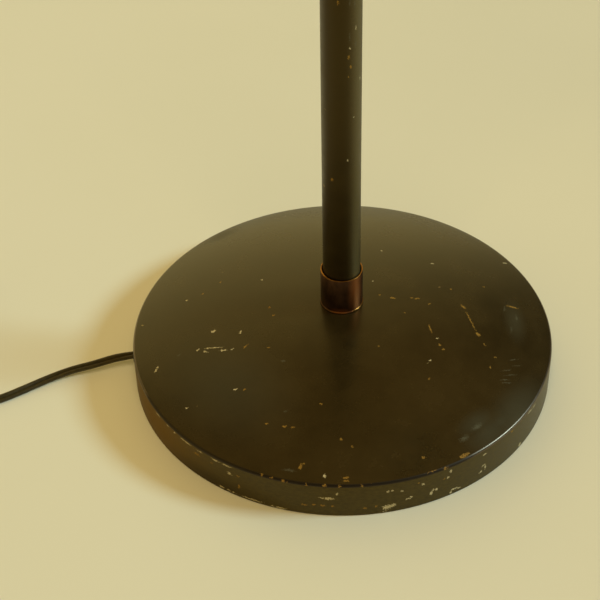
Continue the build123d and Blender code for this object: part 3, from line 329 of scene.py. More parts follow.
def cover_side(inset):
    """The cover's outline from its foot, over the edge and the dome, to the rod hole."""
    corner = EDGE_RADIUS - inset
    middle = COVER_RADIUS - EDGE_RADIUS
    level = dome_middle + math.sqrt((dome_radius - EDGE_RADIUS) ** 2 - middle**2)
    edge_end = math.degrees(math.atan2(level - dome_middle, middle))
    seat = math.sqrt((dome_radius - inset) ** 2 - (CROWN - inset - dome_middle) ** 2)
    seat_end = math.degrees(math.atan2(CROWN - inset - dome_middle, seat))
    rise = (level - COVER_FOOT) / WALL_STEPS
    wall = [(COVER_RADIUS - inset, COVER_FOOT + rise * step) for step in range(WALL_STEPS)]
    edge = arc((middle, level), corner, 0, edge_end, EDGE_STEPS)
    dome = arc((0, dome_middle), dome_radius - inset, edge_end, seat_end, DOME_STEPS)[1:]
    return wall + edge + dome + [(ROD_HOLE_RADIUS, CROWN - inset)]


cover_form = spun(cover_side(0) + cover_side(COVER_WALL)[::-1], COVER_STEPS)
for corner in cover_form.verts:
    inward = Vector((corner.co.x, corner.co.y, 0)).normalized()
    corner.co -= inward * SPUN_WAVE * MM * (0.5 + 0.5 * noise.noise(corner.co * WAVES_A_METRE))

# Chips down to the primer and spots of rust on the dome: place, heading, length and width
dome_primer = [
    ((-88, -32.6), -9, 19, 1.0),
    ((-81, -36.6), -12, 6.5, 1.8),
    ((-93.5, -34.8), -25, 5, 1.4),
    ((-98.6, -31.4), 25, 3, 1.4),
    ((-75.2, -37), 20, 2.2, 1.4),
    ((-88.5, -16.7), 12, 4.6, 2.8),
    ((-69.7, -22.5), 80, 3.2, 1.6),
    ((-127.7, -40.6), 60, 3.4, 2.2),
    ((-126.5, -38), 0, 2, 1.6),
    ((-72.7, -71.4), 15, 3.2, 1.8),
    ((-105.1, -78.6), 0, 2.2, 2.2),
    ((-108.7, 22.7), 30, 2.2, 1.8),
    ((-55.1, 29.9), 0, 2, 2),
    ((63.2, -34), 10, 2.6, 1.4),
    ((56.8, -54.1), 20, 2, 1.6),
    ((22.6, 21.1), 0, 2, 1.2),
    ((-16.2, -139), 80, 3.6, 1.8),
    ((66.7, 47.7), 10, 3.4, 1.8),
    ((122.4, 67.3), 15, 5, 1.5),
    ((31.3, 60.3), 0, 2, 1.5),
]
dome_rust = [
    ((-66.7, -72.5), -30, 2.4, 2),
    ((-47, -10.4), 20, 2.6, 2.2),
    ((-16.9, -89.4), 25, 3, 1.8),
    ((-52.3, -100.4), 0, 3, 1.6),
    ((-40.6, -103.9), -10, 3.2, 1.3),
    ((-35.5, -105.2), 0, 3.4, 1.5),
    ((-31, -131.9), 60, 5, 2.6),
    ((-28.9, -130.4), 0, 2, 1.8),
    ((84.2, 0.4), -40, 5, 3),
    ((88.2, -13), -75, 24, 1.1),
    ((92, -25.6), -55, 5.5, 3),
    ((95.4, -34), -60, 4, 1),
    ((59.2, -26), -81, 12, 1.1),
    ((64.3, -40.1), -50, 3.2, 2),
    ((66.5, -43.4), 0, 2.6, 1.6),
    ((35.5, 2.8), -14, 6, 1.6),
    ((52.3, 3.9), 10, 5.5, 2.2),
    ((120, 10.4), -4, 12, 2.4),
    ((101.9, -43.9), 0, 2.8, 1.8),
    ((97.5, -53.5), 0, 2, 1.8),
    ((54.7, -69.6), 0, 2.2, 1.6),
    ((-2.6, -140.5), 3, 4.6, 1.5),
    ((-2.7, -142.7), 3, 4.2, 1.2),
    ((73.8, -123), 31, 9.5, 3),
    ((26.5, 5.5), 0, 2.2, 1.5),
    ((77.5, 18.1), 30, 2.4, 1.8),
    ((101.7, 27.4), 0, 2, 1.6),
    ((42.8, -11.7), 0, 2, 1.5),
    ((48.8, 4), -20, 3, 1.4),
    ((60.3, -0.9), 20, 3, 1.4),
    ((22.9, -44.3), 0, 2, 1.5),
    ((-85, 35.6), 40, 2.4, 1.7),
    ((-97.3, 26.2), 40, 2.4, 1.7),
    ((-49.9, -2.1), 50, 2.8, 1.8),
    ((-66.2, -36.6), 40, 5.5, 1.5),
    ((-50.9, -40.5), 0, 2.2, 1.6),
    ((-4.8, -115.5), 0, 2.4, 1.6),
    ((2, -120.5), 0, 2.2, 1.6),
    ((47.4, -126.8), 10, 2.8, 1.5),
]
# Spots on the crisp edge between the dome and the rim
edge_rust = [
    ((-55.6, -134), -22, 2.2, 2),
    ((-49.4, -136.8), -20, 2.4, 1.6),
    ((-42.2, -139.6), 0, 2.6, 2.4),
    ((-39.9, -140.4), 0, 2, 2),
    ((-27.5, -143.2), 0, 1.8, 1.6),
    ((-16, -144.6), 0, 2.6, 2.4),
    ((-6.6, -145.6), 0, 2.8, 2.2),
    ((7.3, -145.6), 0, 1.8, 2),
    ((14.3, -142.9), 20, 4, 2.2),
    ((52.3, -134.8), 21, 10, 1.6),
    ((60.8, -132.2), 24, 5.5, 1.5),
    ((107.7, -95.8), 48, 2.6, 1.8),
]
# Rubbing by shoes and brooms: short strokes
dome_scuffs = [
    ((114.4, -43), 22, 13, 1.1),
    ((116, -47.8), 20, 11, 1.1),
    ((108.4, -53.6), 18, 12, 1.2),
    ((111, -57), 17, 15, 1.1),
    ((106.8, -61.9), 14, 13, 1.3),
    ((107.2, -64.3), 12, 12, 1.3),
    ((84.1, -101.7), 38, 13, 4.5),
    ((74.7, -111.4), 34, 11, 5),
    ((-38, -133.6), -14, 13, 2.2),
    ((-84, 110), 35, 18, 4),
    ((-91, 104), 30, 12, 3),
    ((-111.9, -32.2), 20, 4, 2.2),
    ((-40.9, -53.7), 10, 4, 2.2),
    ((-39.8, -93.2), 20, 4, 2),
    ((114, 6), 80, 9, 1.6),
    ((121.7, -0.9), 85, 11, 1.8),
    ((116.4, -14.9), 80, 10, 1.7),
]
# Patches with a soft edge that dull the gloss and are lightened grey: partly rubbing, partly a painted sheen
# where the dome catches the light
dome_haze = [
    ((112, -84), 54, 96, 40),
    ((92, -104), 42, 60, 26),
    ((101, -95), 44, 36, 20),
    ((84, -99), 40, 46, 22),
    ((120, -4), 88, 60, 22),
    ((-80, -66), 130, 150, 100),
    ((-86, 108), 35, 44, 22),
]
# The same on the rim: bearing, height above the floor, length and height of the mark
rim_primer = [
    (-95.3, 16.3, 8.5, 2.8),
    (-97.2, 16.7, 4, 1.6),
    (-93.3, 20.8, 2.8, 2.6),
    (-80.6, 5.4, 8.5, 5),
    (-79.2, 6.6, 4.5, 3.6),
    (-81.2, 1.8, 3, 1.2),
    (-80.6, 20, 2.8, 2.4),
    (-79.5, 20.5, 2.6, 1.8),
    (-76.9, 18.2, 2.8, 1.6),
    (-75.2, 9.6, 4, 1.8),
    (-74.4, 10.8, 2.4, 1.8),
    (-71.3, 19.9, 2.8, 2.6),
    (-69, 9.4, 2.4, 5),
    (-68.5, 11.6, 2, 2.4),
    (-67.5, 11.1, 2, 2.6),
    (-64.3, 18.1, 3, 1.8),
    (-63.6, 23.2, 1.5, 4),
    (-62.2, 4.8, 6.5, 1.7),
    (-60.9, 3.6, 4, 1.4),
    (-63.2, 2.8, 2, 3.6),
    (-52.8, 23, 3.8, 2.4),
    (-53.1, 12.6, 4.6, 1.9),
    (-52.4, 10, 1.9, 5),
    (-53.8, 7.8, 4.4, 1.9),
    (-37.9, 3, 3.8, 4.2),
    (-33.5, 25, 7, 1.6),
    (-31, 24.2, 5, 1.6),
    (-121.8, 19, 3.8, 2.6),
]
rim_rust = [
    (-101.4, 8.7, 4.8, 2.1),
    (-99.1, 9.6, 3, 1.7),
    (-96.8, 9.4, 4.2, 1.9),
    (-94.6, 9.3, 3.4, 1.7),
    (-86.3, 6.8, 2.8, 2.4),
    (-83.5, 7.3, 2.4, 2),
    (-72.5, 22.3, 2, 1.7),
    (-65.5, 18.6, 2, 1.5),
    (-132.3, 20.9, 5.8, 2.8),
    (-127.3, 21.1, 3, 2),
    (-119.1, 19.7, 4, 1.7),
    (-119.1, 10.1, 1.9, 4.6),
    (-42.4, 25, 5, 1.5),
]
# Where the rim's top edge and its foot have rubbed bright
rim_rub = [
    (-148.9, 25.4, 6.5, 1.2),
    (-143.9, 25.5, 3, 1.4),
    (-140.9, 25.2, 2.6, 1.4),
    (-136.4, 25.3, 13, 1.5),
    (-131.2, 25, 6, 1.5),
    (-125.9, 25.4, 8, 1.4),
    (-122.3, 25.3, 9, 1.5),
    (-124.6, 2.6, 5.5, 1.2),
    (-122.4, 2.5, 2.8, 1.2),
    (-120.9, 2.4, 3, 1.3),
    (-115.7, 2.3, 24, 1.1),
    (-109.9, 1.8, 3, 1),
    (-107.7, 1.7, 10, 1.1),
]
# A painted reflection: the left of the rim golden, as from the warm floor, with its gloss dulled; and painted
# shade darkening the rim's foot on the left front
rim_amber = [(-154, 18, 170, 90)]
rim_grime = [(-126, 3, 120, 28)]
# The edge darker and matt along the front and on to the left: place, heading and size
edge_dirt = [
    ((-22, -135, RIM_HEIGHT), 0, (240, 80, 40)),
    ((-110, -96, RIM_HEIGHT), 0, (84, 104, 40)),
]
MARK_DEPTH = 8.0


def dome_marks(marks):
    """Marks on the dome, as ovals in space."""
    for (x, y), heading, length, width in marks:
        level = dome_middle + math.sqrt(dome_radius**2 - x * x - y * y)
        yield (x, y, level), heading, (length, width, max(MARK_DEPTH, width))


def half_marks(marks, side):
    """The marks that reach onto one half of the dome: -1 is the left half and 1 the right."""
    return [mark for mark in dome_marks(marks) if mark[0][0] * side > -max(mark[2])]


def rim_marks(marks):
    """Marks on the upright rim, as ovals in space."""
    for bearing, level, length, height in marks:
        turn = math.radians(bearing)
        place = (COVER_RADIUS * math.cos(turn), COVER_RADIUS * math.sin(turn), level)
        yield place, bearing + 90, (length, max(MARK_DEPTH, length / 2), height)


LACQUER_TONES = ("#1E1709", "#2F2511")
# One shader holds only so many marks, so each half of the dome has its own
dome_left, dome_right = (
    lacquer(
        f"aged_black_lacquer_{half}",
        LACQUER_TONES,
        gloss=(0.2, 0.3),
        cloud=40.0,
        speck_spacing=14.0,
        primer=half_marks(dome_primer, side),
        rust=half_marks(dome_rust, side),
        scuffs=half_marks(dome_scuffs, side),
        haze=half_marks(dome_haze, side),
    )
    for half, side in (("left", -1), ("right", 1))
)
# The rim's tones are lighter and more olive than the dome's, partly a painted reflection of the cream floor
# that the upright rim faces
rim_lacquer = lacquer(
    "aged_black_lacquer_rim",
    ("#28220F", "#453B1A"),
    gloss=(0.34, 0.46),
    cloud=3.0,
    speck_spacing=5.0,
    shine=0.46,
    gleam="#FFD870",
    primer=list(rim_marks(rim_primer + rim_rub)),
    rust=list(rim_marks(rim_rust)),
    amber=list(rim_marks(rim_amber)),
    grime=list(rim_marks(rim_grime)),
)
edge_lacquer = lacquer(
    "rubbed_black_lacquer_edge",
    ("#0C0904", "#141006"),
    gloss=(0.28, 0.36),
    cloud=12.0,
    speck_spacing=5.0,
    shine=1.0,
    gleam="#FFE2C6",
    ior=1.7,
    rust=list(dome_marks(edge_rust)),
    dirt=edge_dirt,
)
cover = make_piece("cover_shell", cover_form, dome_left, "black_lacquer", "stand", "base_cover")
for finish in (dome_right, rim_lacquer, edge_lacquer):
    cover.data.materials.append(finish)
edge_foot = (RIM_HEIGHT - EDGE_RADIUS) * MM
EDGE_SHARE = 0.75
edge_reach = (COVER_RADIUS - EDGE_SHARE * EDGE_RADIUS) * MM
for face in cover.data.polygons:
    if face.center.z < edge_foot:
        face.material_index = 2
    elif face.center.xy.length > edge_reach:
        face.material_index = 3
    elif face.center.x > 0:
        face.material_index = 1

# Tie rod, washer and nut in the base
# Zinc-plated steel: running thread rod with the flex through it, drawn up from below by a hexagon nut.
# Zinc is a pale grey that dulls in clouds.
ZINC_CLOUD = 6.0
zinc, tree, shader, place = start_material("zinc_plated_steel", {"Metallic": 1.0})
mottle(tree, shader, place, ZINC_CLOUD, ("#8E8F8C", "#A9A9A4"), (0.32, 0.5), 0.02)
dress(zinc, "tie_rod", "tie_rod_washer", "tie_rod_nut", "stem_foot")

# Cord bushing in the rim
# A turned insulator with a rounded flange, moulded in black phenolic, that keeps the flex off the steel.
PHENOLIC_FLOW = 9.0
phenolic, tree, shader, place = start_material("black_phenolic", {"IOR": 1.55})
mottle(tree, shader, place, PHENOLIC_FLOW, ("#14100C", "#1D1712"), (0.28, 0.4), 0.01)
dress(phenolic, "cord_bushing")

# Stem tube
# Drawn steel tube, lacquered with the base. Hands and sleeves leave short upright scratches on it.
stem_low, stem_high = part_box("stem_tube")
STEM_RADIUS = 12.7
STEM_WALL = 1.25
TUBE_EDGE = 0.3
TUBE_STEPS = 96


def tube_outline(radius, wall, foot, top, edge):
    """The wall of a tube with its outer edges broken."""
    low = arc((radius - edge, foot + edge), edge, -90, 0, 3)
    high = arc((radius - edge, top - edge), edge, 0, 90, 3)
    return [(radius - wall, foot), *low, *high, (radius - wall, top)]


# Small chips on the stem: place and size
stem_chips = [
    ((8.3, -9.6, 277), 0, (1.2, 1.2, 4)),
    ((4.7, -11.8, 264), 0, (1.2, 1.2, 3)),
    ((11.1, -6.2, 239.5), 0, (1.6, 1.6, 2.4)),
    ((7.4, -10.3, 214), 0, (1.2, 1.2, 2)),
    ((3.6, -12.2, 183), 0, (1.6, 1.6, 2.6)),
    ((-9, -9, 610), 0, (1.2, 1.2, 6)),
    ((6, 11.2, 840), 0, (1.2, 1.2, 9)),
    ((12, 4, 980), 0, (1.2, 1.2, 4)),
]
stem_rust = [
    ((-2.3, -12.5, 295), 0, (1.3, 1.3, 4)),
    ((4.1, -12, 258), 0, (1.9, 1.9, 4)),
    ((5.4, -11.5, 251), 0, (2, 2, 3.6)),
    ((4.2, -12, 244), 0, (1.6, 1.6, 2)),
    ((-6.5, -10.9, 167.5), 0, (1.9, 1.9, 2.6)),
]
stem_scuffs = [
    ((4.7, -11.8, 294), 0, (1.8, 1.8, 9)),
    ((7.7, -10.1, 293), 0, (1.6, 1.6, 8)),
    ((10.2, -7.5, 277), 0, (1.8, 1.8, 24)),
    ((4.7, -11.8, 272), 0, (1.8, 1.8, 9)),
    ((8.4, -9.5, 266), 0, (2.4, 2.4, 6)),
    ((9.6, -8.3, 153), 0, (4, 4, 1.6)),
]
# A painted highlight: the side that faces the light, lighter all the way up
stem_faded = [((10.2, -7.6, 640), 0, (19, 19, 8000))]
stem_lacquer = lacquer(
    "aged_black_lacquer_stem",
    ("#1E170B", "#2A2110"),
    gloss=(0.36, 0.46),
    cloud=30.0,
    speck_spacing=11.0,
    gleam="#FFDC84",
    primer=stem_chips,
    rust=stem_rust,
    scuffs=stem_scuffs,
    faded=stem_faded,
)
stem_outline = tube_outline(STEM_RADIUS, STEM_WALL, stem_low.z / MM, stem_high.z / MM, TUBE_EDGE)
stem_form = spun(stem_outline, TUBE_STEPS)
make_piece("stem", stem_form, stem_lacquer, "black_lacquer", "stand", "stem_tube")

# Ferrule at the foot of the stem and collar at its top
# Thin copper sleeves, pressed from sheet. The ferrule stands clear of the tube and has a small bead at its
# foot; it has tarnished to a dark red brown. Its top edge is lighter, rubbed bright and partly a painted
# highlight, and the right of its bead and of its side are lighter as a painted highlight.
FERRULE_RADIUS = 14.4
FERRULE_WALL = 0.8
FERRULE_BEAD_HEIGHT = 1.6
FERRULE_BEAD_SETBACK = 0.3
FERRULE_LIP = 0.25
COLLAR_WALL = 1.65
COLLAR_EDGE = 0.5
TARNISH_DRIFT = 7.0
RUBBED_EDGE = 0.2
RUBBED_SIDE = 7.0


def tarnished_copper(name, colours, roughness, rubbed=()):
    """Copper under a thin brown film that drifts from dark to light, lighter in the given patches: rubs, and
    painted highlights.
    """
    material, tree, shader, place = start_material(name, {"Metallic": 1.0})
    tone = mottle(tree, shader, place, TARNISH_DRIFT, colours, roughness, 0.03, stretch=(1, 1, 0.45))
    if rubbed:
        worn = add_node(
            tree,
            "MapRange",
            {"Value": nearest_mark(tree, place, rubbed), "From Min": 1.0, "From Max": 0.2},
            interpolation_type="SMOOTHSTEP",
        ).outputs["Result"]
        thin = add_node(tree, "Mix", {0: worn, 6: tone, 7: linear("#A5673A")}, data_type="RGBA")
        tree.links.new(thin.outputs[2], shader.inputs["Base Color"])
    return material


# A painted highlight down the ferrule's right side, where the light falls, and a rub low on its front
ferrule_rubs = [
    ((9.8, -10.5, 66), 0, (17, 17, 80)),
    ((-1, -14.4, 58), 0, (20, 12, 9)),
]
copper = tarnished_copper("tarnished_copper", ("#3C2A20", "#684A36"), (0.36, 0.46), ferrule_rubs)
ferrule_low, ferrule_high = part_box("stem_ferrule")
ferrule_foot = ferrule_low.z / MM
ferrule_top = ferrule_high.z / MM
bead_radius = FERRULE_BEAD_HEIGHT / 2
bead_turn = arc(
    (FERRULE_RADIUS - FERRULE_BEAD_SETBACK, ferrule_foot + bead_radius), bead_radius, -90, 90, 8
)
ferrule_outline = [
    (FERRULE_RADIUS - FERRULE_WALL, ferrule_foot),
    *bead_turn,
    (FERRULE_RADIUS, ferrule_foot + FERRULE_BEAD_HEIGHT),
    *arc((FERRULE_RADIUS - FERRULE_LIP, ferrule_top - FERRULE_LIP), FERRULE_LIP, 0, 90, 3),
    (FERRULE_RADIUS - FERRULE_WALL, ferrule_top),
]
rubbed_copper = tarnished_copper("rubbed_copper", ("#7A5226", "#B8803E"), (0.24, 0.36))
ferrule = make_piece("ferrule", spun(ferrule_outline, TUBE_STEPS), copper, "copper", "stand", "stem_ferrule")
ferrule.data.materials.append(rubbed_copper)
# Lighter copper for the top edge, rubbed bright and partly a painted highlight, and for a painted highlight
# on the right of the bead
for face in ferrule.data.polygons:
    level = face.center.z / MM
    bead_rubbed = level < ferrule_foot + FERRULE_BEAD_HEIGHT and face.center.x / MM > RUBBED_SIDE
    if level > ferrule_top - RUBBED_EDGE or bead_rubbed:
        face.material_index = 1
collar_low, collar_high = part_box("stem_collar")
collar_outline = tube_outline(
    FERRULE_RADIUS, COLLAR_WALL, collar_low.z / MM, collar_high.z / MM, COLLAR_EDGE
)
make_piece("collar", spun(collar_outline, TUBE_STEPS), copper, "copper", "stand", "stem_collar")

# Swivel post, washer and nut
# Turned brass with a red fibre washer between the shelf and the hub, so that the arm swings without
# rubbing metal on metal.
BRASS_CLOUD = 5.0
FIBRE_LAYER = 1.5
brass, tree, shader, place = start_material("turned_brass", {"Metallic": 1.0})
mottle(tree, shader, place, BRASS_CLOUD, ("#8C6A34", "#B48C4C"), (0.25, 0.4), 0.02)
fibre, tree, shader, place = start_material("vulcanised_fibre", {})
mottle(tree, shader, place, FIBRE_LAYER, ("#5E3A26", "#7A4E34"), (0.6, 0.75), 0.05)
dress(brass, "swivel_post", "swivel_nut")
dress(fibre, "swivel_washer")

# Arm: hub, stop screw, cap, tube and the arm's half of the tilting swivel
# The hub and the swivel are turned steel, lacquered with the arm tube; the cap over the wiring chamber
# is copper, and the stop screw is zinc plated.
arm_lacquer = lacquer(
    "aged_black_lacquer_arm", LACQUER_TONES, gloss=(0.3, 0.4), cloud=30.0, speck_spacing=12.0
)
dress(arm_lacquer, "arm_hub", "arm_tube", "arm_knuckle", "head_knuckle")
dress(copper, "arm_hub_cap", "tilt_knob")
dress(zinc, "stop_screw")

# Socket cup and shade
# Two steel spinnings, riveted together through the cup's flange: lacquered outside like the base, and
# white stove enamel inside the shade to throw the light down.
cup_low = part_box("shade_cup")[0]
shade_low, shade_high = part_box("shade")
HEAD_X = (shade_low.x + shade_high.x) / 2 / MM
SHADE_RADIUS = 115.0
SHADE_CROWN_RADIUS = 30.0
SHADE_WALL = 1.0
SHADE_HOLE_RADIUS = 22.0
SHADE_ROLL_RADIUS = 1.5
SHADE_STEPS = 160
ENAMEL_FLOW = 18.0
INWARD = -0.001
shade_mouth = shade_low.z / MM
shade_crown = shade_high.z / MM
shade_ball = SHADE_RADIUS - SHADE_CROWN_RADIUS
shade_lip_top = shade_crown - shade_ball
hem_radius = (shade_high.x - shade_low.x) / 2 / MM
roll_middle = (hem_radius - SHADE_ROLL_RADIUS, shade_mouth + SHADE_ROLL_RADIUS)
shade_outline = [
    (SHADE_HOLE_RADIUS, shade_crown),
    *arc((SHADE_CROWN_RADIUS, shade_lip_top), shade_ball, 90, 0, 24),
    *arc(roll_middle, SHADE_ROLL_RADIUS, 80, -180, 18),
    *arc((SHADE_CROWN_RADIUS, shade_lip_top), shade_ball - SHADE_WALL, 0, 90, 24),
    (SHADE_HOLE_RADIUS, shade_crown - SHADE_WALL),
]
enamel, tree, shader, place = start_material("white_stove_enamel", {"IOR": 1.52, "Coat Weight": 0.3})
mottle(tree, shader, place, ENAMEL_FLOW, ("#D9D3C0", "#E6E1D0"), (0.3, 0.42), 0.03)
shade_piece = make_piece(
    "shade_spinning", spun(shade_outline, SHADE_STEPS, HEAD_X), arm_lacquer, "black_lacquer", "head", "shade"
)
shade_piece.data.materials.append(enamel)
mouth_middle = Vector((HEAD_X * MM, 0, shade_mouth * MM))
for face in shade_piece.data.polygons:
    if face.normal.dot(face.center - mouth_middle) < INWARD:
        face.material_index = 1
dress(arm_lacquer, "shade_cup")

# Rivets through the cup's flange
# Three copper snap heads that join the cup and the shade.
RIVET_COUNT = 3
RIVET_RADIUS = 1.9
RIVET_RISE = 1.0
RIVET_CIRCLE = 26.0
CUP_WALL = 1.0
rivets = bmesh.new()
for number in range(RIVET_COUNT):
    turn = math.radians(360 * (number + 0.5) / RIVET_COUNT)
    for level in (cup_low.z / MM + CUP_WALL, shade_crown - SHADE_WALL):
        middle = Vector((HEAD_X + RIVET_CIRCLE * math.cos(turn), RIVET_CIRCLE * math.sin(turn), level)) * MM
        spread = Matrix.Diagonal((RIVET_RADIUS * MM, RIVET_RADIUS * MM, RIVET_RISE * MM, 1))
        bmesh.ops.create_uvsphere(
            rivets, u_segments=20, v_segments=10, radius=1.0, matrix=Matrix.Translation(middle) @ spread
        )
make_piece("cup_rivets", rivets, copper, "copper", "head")

# Lampholder and its switch
# A brass cap and shell over a fibre liner, with a phenolic body and key. The shell and the cap are
# drawn from thin sheet and left bare.
dress(brass, "lampholder_cap", "lampholder_shell", "screw_shell", "centre_contact", "bulb_cap")
dress(fibre, "lampholder_liner")
dress(phenolic, "lampholder_body", "switch_key")

# Bulb
# A blown glass envelope, frosted by acid on the inside, so that light scatters and the wall looks milky.
GLASS_RIPPLE = 12.0
frosted, tree, shader, place = start_material(
    "inside_frosted_glass",
    {"IOR": 1.5, "Transmission Weight": 0.55, "Coat Weight": 0.5, "Coat Roughness": 0.05},
)
mottle(tree, shader, place, GLASS_RIPPLE, ("#DCD8CB", "#ECE9DF"), (0.4, 0.5), 0.01)
dress(frosted, "bulb_glass")

# Flat twin flex
# Two stranded cores side by side in one extruded jacket of black vinyl, with a waist between them. The
# jacket has a satin skin that shows long soft lights.
CORD_WIDTH = 5.8
CORD_THICKNESS = 2.9
CORD_WEB = 1.1
VINYL_FLOW = 3.0
vinyl, tree, shader, place = start_material("satin_black_vinyl", {"IOR": 1.52})
mottle(tree, shader, place, VINYL_FLOW, ("#2B220B", "#3C310F"), (0.34, 0.46), 0.02)
core = CORD_THICKNESS / 2
waist = math.degrees(math.asin(CORD_WEB / 2 / core))
section_line = arc((CORD_WIDTH / 2 - core, 0), core, waist - 180, 180 - waist, 14)
section_line += arc((core - CORD_WIDTH / 2, 0), core, waist, 360 - waist, 14)
section_curve = bpy.data.curves.new("flex_section", "CURVE")
section_curve.dimensions = "2D"
section_spline = section_curve.splines.new("POLY")
section_spline.points.add(len(section_line) - 1)
for point, (x, y) in zip(section_spline.points, section_line):
    point.co = (x * MM, y * MM, 0, 1)
section_spline.use_cyclic_u = True
flex_section = bpy.data.objects.new("flex_section", section_curve)
bpy.context.scene.collection.objects.link(flex_section)
flex_section.hide_render = True


def run_flex(name, route, body, *nodes, leans=()):
    """A length of flat flex along a smooth line through a route, leaning at its first points."""
    line = bpy.data.curves.new(name, "CURVE")
    line.dimensions = "3D"
    line.twist_mode = "Z_UP"
    line.bevel_mode = "OBJECT"
    line.bevel_object = flex_section
    line.use_fill_caps = True
    line.resolution_u = 8
    spline = line.splines.new("NURBS")
    spline.points.add(len(route) - 1)
    for point, place in zip(spline.points, route):
        point.co = (*(Vector(place) * MM), 1)
    for point, lean in zip(spline.points, leans):
        point.tilt = math.radians(lean)
    spline.order_u = 3
    spline.use_endpoint_u = True
    line.materials.append(vinyl)
    piece = bpy.data.objects.new(name, line)
    bpy.context.scene.collection.objects.link(piece)
    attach(piece, body)
    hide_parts(*nodes)
    return piece


# Mains cord
# Black flat twin flex: out of the bushing, down to the floor and along it. The rest of its length is
# wound in a neat two-layer coil, tied, with the plug beside it.
EXIT = (-147.2, 0.0, 10.5)
CORD_REST = 1.65
COIL_MIDDLE = (-318.0, 9.0)
COIL_LEVEL = 2.55
COIL_INNER_RADIUS = 23.5
COIL_PITCH = 6.4
COIL_STEP = 3.8
TURNS_IN = 4.0
TURNS_UP = 0.5
TURNS_OUT = 3.75
POINTS_A_TURN = 20
PLUG_BACK = (-306.0, 80.0)
PLUG_LEVEL = 6.2


def coil_point(turns):
    """A point of the coil: in along the floor, up half a turn, and out on top."""
    above = turns - TURNS_IN - TURNS_UP
    radius = COIL_INNER_RADIUS + COIL_PITCH * (TURNS_IN - turns)
    rise = 0.0
    if above > 0:
        radius = COIL_INNER_RADIUS + COIL_PITCH * above
        rise = COIL_STEP
    elif turns > TURNS_IN:
        climb = (turns - TURNS_IN) / TURNS_UP
        radius = COIL_INNER_RADIUS - COIL_PITCH * TURNS_UP / math.pi * math.sin(math.pi * climb)
        rise = COIL_STEP * climb**2 * (3 - 2 * climb)
    angle = -math.pi / 2 - 2 * math.pi * turns
    across = COIL_MIDDLE[0] + radius * math.cos(angle)
    along = COIL_MIDDLE[1] + radius * math.sin(angle)
    return Vector((across, along, COIL_LEVEL + rise))


coil_turns = TURNS_IN + TURNS_UP + TURNS_OUT
coil_route = [coil_point(number / POINTS_A_TURN) for number in range(round(coil_turns * POINTS_A_TURN) + 1)]
coil_in = (coil_route[1] - coil_route[0]).normalized()
coil_out = (coil_route[-1] - coil_route[-2]).normalized()
coil_start = coil_route[0] - coil_in * CORD_WIDTH
coil_end = coil_route[-1] + coil_out * CORD_WIDTH
cord_route = [
    EXIT,
    (EXIT[0] - 11.5, -1.2, EXIT[2] - 0.6),
    (EXIT[0] - 27.5, -5.4, 7.4),
    (EXIT[0] - 44.5, -8.2, 5.0),
    (EXIT[0] - 61.0, -15.0, 3.0),
    (EXIT[0] - 77.0, -25.2, CORD_REST + 1.2),
    (EXIT[0] - 93.0, -34.6, CORD_REST + 1.2),
    (EXIT[0] - 115.0, coil_start.y - 1.0, CORD_REST + 0.7),
    coil_start - coil_in * 24.0,
    coil_start,
    *coil_route,
    coil_end,
    coil_end + coil_out * 17.0,
    (coil_end.x + 5.0, coil_end.y + 38.0, 3.2),
    (coil_end.x + 17.0, PLUG_BACK[1] - 13.0, CORD_REST),
    (PLUG_BACK[0] - 28.0, PLUG_BACK[1] - 3.5, 3.2),
    (PLUG_BACK[0] - 13.0, PLUG_BACK[1], PLUG_LEVEL),
    (*PLUG_BACK, PLUG_LEVEL),
]
# The flat side leans over on the way down from the bushing, and lies down again before the coil
CORD_LEANS = (-8, -40, -24, -18, -26, -46, -48, -12)
mains_cord = run_flex(
    "mains_cord", cord_route, "stand", "cord_lead", "cord_coil", "cord_tail", leans=CORD_LEANS
)

# Tie
# A soft vinyl band round the turns of the coil, pulled snug, with its long edges rounded.
TIE_TURN = math.radians(45.0)
TIE_SLACK = 0.6
TIE_FACE_GAP = 0.1
TIE_THICKNESS = 0.8
TIE_WIDTH = 6.0
TIE_CORNER = 0.8
TIE_EDGE = 0.25
TIE_PULL = 0.15
TIE_RIPPLE = 9.0
coil_outer_radius = COIL_INNER_RADIUS + COIL_PITCH * TURNS_IN
tie_half_width = (coil_outer_radius - COIL_INNER_RADIUS + CORD_WIDTH) / 2 + TIE_SLACK
tie_half_height = (COIL_STEP + CORD_THICKNESS + TIE_FACE_GAP + TIE_SLACK) / 2
tie_reach = (coil_outer_radius + COIL_INNER_RADIUS) / 2
tie_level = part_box("cord_tie")[0].z / MM + TIE_THICKNESS + tie_half_height
tie_out = Vector((math.cos(TIE_TURN), math.sin(TIE_TURN), 0))
tie_along = Vector((math.sin(TIE_TURN), -math.cos(TIE_TURN), 0))
tie_middle = Vector((*COIL_MIDDLE, tie_level)) + tie_out * tie_reach


def rounded_box(half_width, half_height, corner, steps):
    """Points round a rectangle with round corners, from its lower right corner."""
    line = []
    for turn, side, top in ((-90, 1, -1), (0, 1, 1), (90, -1, 1), (180, -1, -1)):
        middle = (side * (half_width - corner), top * (half_height - corner))
        line += arc(middle, corner, turn, turn + 90, steps)
    return line


def ring_loft(form, rings, closed):
    """Join rings of points with faces, end to end or into a loop."""
    loops = [[form.verts.new(point * MM) for point in ring] for ring in rings]
    pairs = list(zip(loops, loops[1:]))
    if closed:
        pairs.append((loops[-1], loops[0]))
    for low, high in pairs:
        for at, corner in enumerate(low):
            form.faces.new((low[at - 1], corner, high[at], high[at - 1]))
    if not closed:
        form.faces.new(loops[0])
        form.faces.new(loops[-1])
    bmesh.ops.recalc_face_normals(form, faces=form.faces)
    return form


